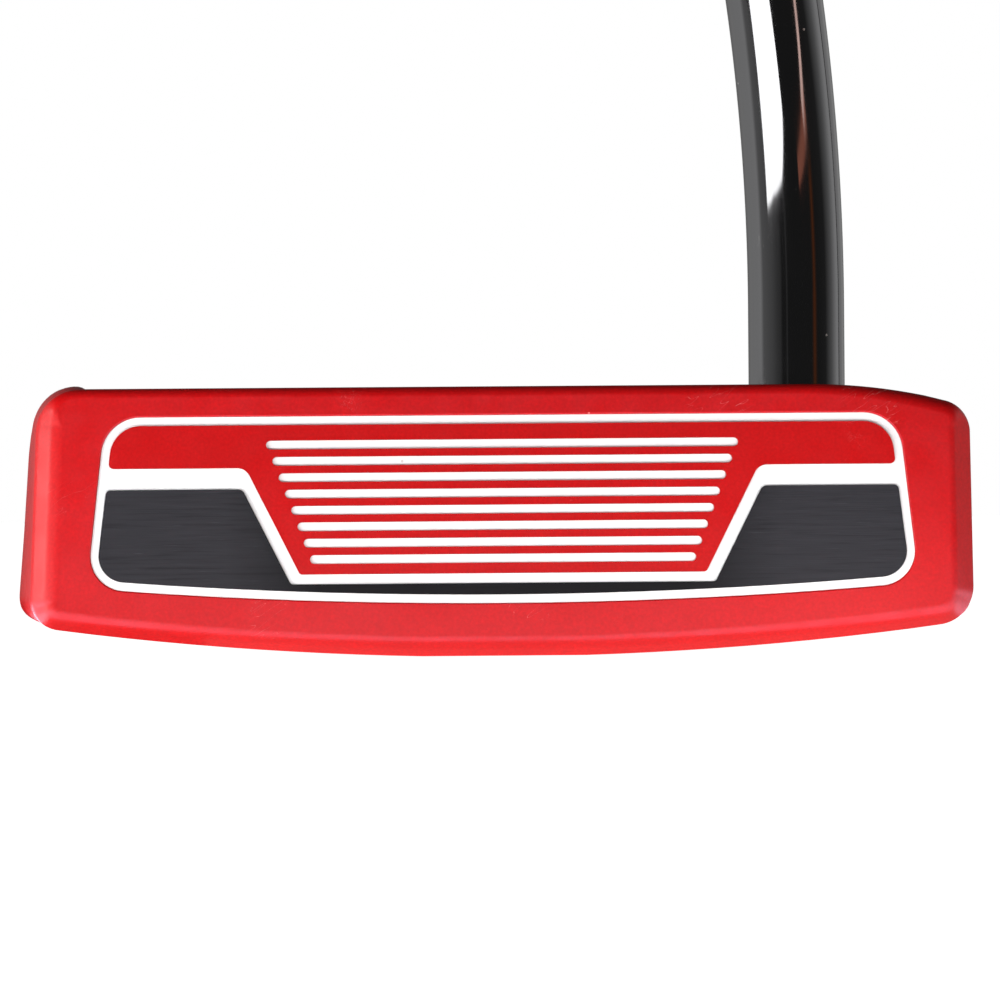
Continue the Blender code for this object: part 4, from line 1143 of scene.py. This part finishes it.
def make_grip(look, axis):
    rings = []
    for k in range(GRIP_ALONG + 1):
        from_butt = GRIP_TOP + (GRIP_LENGTH - GRIP_TOP) * k / GRIP_ALONG
        points, marks, length = grip_outline(*grip_size(from_butt))
        along = np.roll(points, -1, axis=0) - np.roll(points, 1, axis=0)
        inward = np.stack([-along[:, 1], along[:, 0]], axis=1) / np.linalg.norm(along, axis=1)[:, None]
        sink = np.array([tread_depth(mark, length, from_butt) for mark in marks])
        sink += collar_depth(from_butt)
        moved = points + inward * sink[:, None]
        rings.append([(x, y, -from_butt) for x, y in moved])
    for from_butt in (GRIP_LENGTH, GRIP_TOP):
        rings.append(circle(GRIP_BORE, -from_butt, GRIP_AROUND))
    grip = add_piece("grip_sleeve", loft(bmesh.new(), rings, closed=True), axis)
    dress(grip, "grip_rubber", look, "grip", smooth=60)


def make_cap(look, axis):
    width, front, back = grip_size(GRIP_TOP)
    rings = [circle(CAP_SPIGOT_RADIUS, -CAP_THICKNESS - length, GRIP_AROUND)
             for length in (CAP_SPIGOT_LENGTH, 0.0)]
    for inset, z in CAP_PROFILE:
        points, _, _ = grip_outline(width - inset, front - inset, back - inset)
        rings.append([(x, y, z) for x, y in points])
    cap = add_piece("butt_cap", loft(bmesh.new(), rings), axis)
    vent = turned([(VENT_RADIUS, -0.01), (VENT_RADIUS, -0.0004), (VENT_RADIUS + 0.0006, 0.0002)], 32)
    combine(cap, [add_piece("cut_vent", vent, axis)], "DIFFERENCE")
    dress(cap, "cap_plastic", look, "grip_cap")


def make_band(look, axis):
    inner = shaft_radius(BAND_TOP) + HAIRLINE
    outer = inner + BAND_THICKNESS
    profile = [(inner, -BAND_FOOT), (outer - BAND_EDGE / 3, -BAND_FOOT), (outer, -BAND_FOOT + BAND_EDGE),
               (outer, -BAND_TOP - BAND_EDGE), (outer - BAND_EDGE / 3, -BAND_TOP), (inner, -BAND_TOP)]
    band = add_piece("band_sleeve", turned(profile, SHAFT_SIDES, closed=True), axis)
    dress(band, "band_film", look, "shaft_band")


# ---- stage ----
CAMERA_DISTANCE = 0.9
CAMERA_AZIMUTH = -1.5
CAMERA_ROLL = 0.43
CAMERA_AIM = Vector((-0.00029, FACE_Y, 0.01524))
VIEW_WIDTH = 0.09737  # what the picture spans at the face
SENSOR = 36.0

# brightness of the studio's walls, by azimuth, with a rust-coloured slit
RUST = (0.30, 0.090, 0.035)
RUST_FRINGE = (0.13, 0.062, 0.040)
SLIT_SHADE = 0.05  # in place of the slit, on the table
WALLS = ((-180, 0.20), (-160, 0.25), (-140, 0.60), (-120, 0.85), (-97, 1.00), (-88, 0.46), (-63, 0.32),
         (-50, 0.20), (-41, 0.15), (-36, 0.055), (-27, 0.055), (-25, 0.17), (-23, 0.050), (22, 0.050),
         (35, 0.050), (38, RUST_FRINGE), (40.2, RUST), (43.4, RUST), (46, RUST_FRINGE), (49, 0.050),
         (72, 0.07), (91, 0.42), (109, 1.00), (118, 1.00), (119, 0.05), (121, 0.05), (122, 0.66),
         (133, 0.62), (145, 0.60), (160, 0.25), (180, 0.20))
TOP_GLOW = 0.06
FLOOR_GLOW = 1.0
# cards on the table round the shaft's foot: first and last azimuth, near and far reach at each,
# height, brightness (None: that of the walls)
CARDS = {"shade_card": ((-180, 180), ((0.060, 6.5), (0.060, 6.5)), 0.0002, None),
         "glow_card_tip": ((-68, -50), ((0.061, 0.245), (0.061, 0.198)), 0.0005, (8.5, 8.5, 8.5)),
         "glow_card_side": ((-50, -26), ((0.061, 0.198), (0.061, 0.166)), 0.0005, (8.5, 8.5, 8.5)),
         "glow_card": ((-26, -13), ((0.061, 0.165), (0.061, 0.120)), 0.0005, (8.5, 8.5, 8.5)),
         "warm_card": ((36, 75), ((0.157, 0.179), (0.104, 0.120)), 0.0005, (3.6, 2.4, 2.1)),
         "brown_card": ((14, 44), ((0.165, 0.200), (0.158, 0.195)), 0.0004, (1.15, 0.40, 0.26)),
         "fringe_card": ((37.0, 47.0), ((0.22, 6.5), (0.22, 6.5)), 0.0005, RUST_FRINGE),
         "rust_card": ((39.8, 43.8), ((0.24, 6.5), (0.24, 6.5)), 0.0006, RUST)}
CARD_STEPS = 24
# cards that the enamel mirrors: extent sideways and along Y from the face, brightness
ENAMEL_CARDS = {"front_glow_card": ((-0.052, 0.052), (-0.045, -0.002), (6.0, 6.2, 8.5)),
                "toe_glow_card": ((-0.075, -0.0485), (-0.020, 0.020), (8.0, 8.0, 10.0)),
                "heel_glow_card": ((0.0485, 0.075), (-0.020, 0.010), (5.0, 5.0, 6.5))}
ENAMEL_CARD_HEIGHT = 0.0004
# lamps: target from the face's middle; azimuth, distance and height from there; size; brightness
FACE_MIDDLE = Vector((0.0, FACE_Y, 0.012))
LAMPS = {"key_left": ((0.0, 0.0, 0.0), (-40, 0.50, 0.03), (0.34, 0.12), 2.6),
         "glow_toe": ((0.0, 0.0, 0.0), (-66, 0.115, 0.0), (0.040, 0.020), 19.0),
         "glow_heel": ((0.038, 0.0, -0.005), (0, 0.025, 0.0), (0.020, 0.012), 3.7),
         "glow_foot": ((0.0, 0.0, -0.008), (0, 0.030, 0.0), (0.090, 0.008), 3.8),
         "toe_shine": ((-0.045, 0.0, 0.0), (-85, 0.30, 0.0), (0.12, 0.16), 9.0)}
MIRRORED_LAMP = "toe_shine"  # the only one that shows, and lights nothing but the head


def make_floor():
    bm = bmesh.new()
    bmesh.ops.create_circle(bm, cap_ends=True, segments=96, radius=6.0)
    floor = add_piece("studio_floor", bm)
    floor.location.z = -0.00005
    finish = Finish("floor_look", (0.90, 0.90, 0.90), 0.85, Emission_Strength=FLOOR_GLOW,
                    Emission_Color=(1.0, 1.0, 1.0, 1.0))
    finish.feed("Roughness", finish.spread(finish.noise(0.05), 0.75, 0.95))
    floor.data.materials.append(finish.material)


def around(azimuth, distance, height):
    """A place seen from the head: azimuth 0 is straight in front of the face, and + is to the heel."""
    angle = math.radians(azimuth)
    return (distance * math.sin(angle), -distance * math.cos(angle), height)


def aimed(place, target):
    """Where a lamp or the camera stands, turned to its target."""
    turn = (target - place).to_track_quat("-Z", "Y")
    return Matrix.Translation(place) @ turn.to_matrix().to_4x4()


def wall_glow(node, x, toward, slit=True):
    """Brightness by azimuth, from a direction's or a place's sideways part and its part to the front."""
    azimuth = node("ShaderNodeMath", {0: x, 1: toward}, operation="ARCTAN2").outputs[0]
    share = node("ShaderNodeMapRange", {"Value": azimuth, "From Min": -math.pi, "From Max": math.pi})
    ramp = node("ShaderNodeValToRGB", {0: share.outputs[0]})
    marks = ramp.color_ramp.elements
    while len(marks) < len(WALLS):
        marks.new(0.5)
    for mark, (degrees, level) in zip(marks, WALLS):
        mark.position = (degrees + 180) / 360
        colour = (level,) * 3
        if isinstance(level, tuple):
            colour = level if slit else (SLIT_SHADE,) * 3
        mark.color = (*colour, 1.0)
    return ramp.outputs[0]


def make_world():
    """White studio walls behind and beside the club, a dark side behind the camera, a dim ceiling."""
    world = bpy.data.worlds.new("studio")
    bpy.context.scene.world = world
    world.use_nodes = True
    tree = world.node_tree
    tree.nodes.clear()
    node = partial(add_node, tree)

    split = node("ShaderNodeSeparateXYZ", {0: node("ShaderNodeTexCoord").outputs["Generated"]})
    back = node("ShaderNodeMath", {0: split.outputs["Y"], 1: -1.0}, operation="MULTIPLY")
    walls = wall_glow(node, split.outputs["X"], back.outputs[0])
    high = node("ShaderNodeMapRange", {"Value": split.outputs["Z"], "From Min": 0.30, "From Max": 0.62})
    glow = node("ShaderNodeMix", {"Factor": high.outputs[0], 6: walls,
                                  7: (TOP_GLOW, TOP_GLOW, TOP_GLOW, 1.0)}, data_type="RGBA")
    lit = node("ShaderNodeBackground", {0: glow.outputs[2], 1: 1.0})
    seen = node("ShaderNodeBackground", {0: (1.0, 1.0, 1.0, 1.0), 1: 1.0})
    pick = node("ShaderNodeMixShader", {0: node("ShaderNodeLightPath").outputs["Is Camera Ray"],
                                        1: lit.outputs[0], 2: seen.outputs[0]})
    node("ShaderNodeOutputWorld", {0: pick.outputs[0]})


def make_camera():
    camera = bpy.data.cameras.new("camera")
    camera.sensor_width = SENSOR
    camera.lens = SENSOR * CAMERA_DISTANCE / VIEW_WIDTH
    camera.clip_start = 0.05
    place = CAMERA_AIM + Vector(around(CAMERA_AZIMUTH, CAMERA_DISTANCE, 0.0))
    roll = Matrix.Rotation(math.radians(-CAMERA_ROLL), 4, "Z")
    bpy.context.scene.camera = add_object("camera", camera, aimed(place, CAMERA_AIM) @ roll)


def light_only(item, receiver):
    """Keep a card's or a lamp's light to one piece."""
    group = bpy.data.collections.new(f"{item.name}_receivers")
    group.objects.link(receiver)
    item.light_linking.receiver_collection = group


def place_card(name, rows, location, receiver):
    """A glowing strip on the table, from pairs of points; returns the finish that makes it glow."""
    bm = bmesh.new()
    made = [[bm.verts.new(point) for point in row] for row in rows]
    for first, second in zip(made, made[1:]):
        bm.faces.new((first[0], first[1], second[1], second[0]))
    card = add_piece(name, bm)
    card.location = location
    look = Finish(f"{name}_look", (0.0, 0.0, 0.0), 1.0, Specular_IOR_Level=0.0, Emission_Strength=1.0)
    card.data.materials.append(look.material)
    card.visible_camera = False
    card.visible_diffuse = False
    card.visible_shadow = False
    light_only(card, receiver)
    return look


def set_glow(look, glow):
    level = max(glow)
    look.shader.inputs["Emission Strength"].default_value = level
    look.shader.inputs["Emission Color"].default_value = (*shade(glow, 1 / level), 1.0)


def make_cards(shaft, head):
    """Parts of the table that the shaft and the enamel mirror, out of the camera's sight."""
    foot = Vector((*SHAFT_FOOT_CENTRE.xy, 0.0))
    for name, ((low, high), (first, last), height, glow) in CARDS.items():
        rows = []
        for k in range(CARD_STEPS + 1):
            share = k / CARD_STEPS
            reaches = [a + (b - a) * share for a, b in zip(first, last)]
            rows.append([around(low + (high - low) * share, reach, height) for reach in reaches])
        look = place_card(name, rows, foot, shaft)
        if glow:
            set_glow(look, glow)
        else:
            front = look.times(look.axis("Y"), -1.0)
            look.feed("Emission Color", wall_glow(look.node, look.axis("X"), front, slit=False))
    for name, (across, along, glow) in ENAMEL_CARDS.items():
        strip = [[(x, y, ENAMEL_CARD_HEIGHT) for y in along] for x in across]
        set_glow(place_card(name, strip, Vector((0.0, FACE_Y, 0.0)), head), glow)


def make_lamps(head):
    """Soft rectangular lamps for the enamel, given by the brightness of their surface."""
    for name, (offset, stand, size, radiance) in LAMPS.items():
        light = bpy.data.lights.new(name, "AREA")
        light.shape = "RECTANGLE"
        light.size, light.size_y = size
        light.energy = radiance * math.pi * size[0] * size[1]
        target = FACE_MIDDLE + Vector(offset)
        lamp = add_object(name, light, aimed(target + Vector(around(*stand)), target))
        lamp.visible_camera = False
        lamp.visible_glossy = name == MIRRORED_LAMP
        if lamp.visible_glossy:
            light_only(lamp, head)


def main():
    bpy.context.scene.view_settings.view_transform = "Standard"
    make_camera()
    make_world()
    make_floor()
    looks = {
        "red": enamel("red_enamel_look", RED),
        "red_plate": enamel("red_plate_look", shade(RED, 0.97)),
        "black": brushed_black("brushed_black_look"),
        "deck_black": brushed_black("brushed_deck_look", along="y"),
        "white": white_polymer(),
        "chrome": black_chrome(),
        "steel": turned_steel(),
        "grip": grip_rubber(),
        "band": banded_film(),
        "cap": plain_finish("cap_plastic_look", (0.028, 0.028, 0.030), 0.5, 0.0004, 0.00002),
        "epoxy": plain_finish("epoxy_look", (0.05, 0.045, 0.04), 0.4, 0.0005, 0.00001),
        "film": plain_finish("adhesive_film_look", (0.62, 0.58, 0.46), 0.6, 0.0005, 0.00002),
        "rubber": plain_finish("seal_rubber_look", (0.02, 0.02, 0.021), 0.75, 0.0003, 0.00002),
        "plug": plain_finish("tip_plug_look", (0.50, 0.34, 0.19), 0.8, 0.0005, 0.00005),
        "tape": plain_finish("grip_tape_look", (0.75, 0.72, 0.62), 0.8, 0.0006, 0.00005),
    }
    kept = {"insert_film": "film", "toe_weight_seal": "rubber", "heel_weight_seal": "rubber",
            "shaft_tip_plug": "plug", "grip_tape": "tape"}
    for name, look in kept.items():
        node = frame["nodes"][name]
        node.data.materials.clear()
        node.data.materials.append(looks[look])

    face = Matrix.Translation((0.0, FACE_Y, 0.0)) @ Matrix.Rotation(-LOFT, 4, "X")
    head = make_head(looks["red"], face)
    make_insert(looks, face)
    make_deck_inlays(looks)
    make_weights(looks)
    end = shaft_route()[-1][0]
    butt = end + SHAFT_AXIS * ((CLUB_LENGTH * SHAFT_AXIS.z - end.z) / SHAFT_AXIS.z)
    shaft = make_shaft(looks["chrome"], butt)
    make_bond(looks["epoxy"])
    tilt = Matrix.Rotation(math.atan2(SHAFT_AXIS.x, SHAFT_AXIS.z), 4, "Y")
    axis = Matrix.Translation(butt) @ tilt
    make_grip(looks["grip"], axis)
    make_cap(looks["cap"], axis)
    make_band(looks["band"], axis)
    make_cards(shaft, head)
    make_lamps(head)


main()
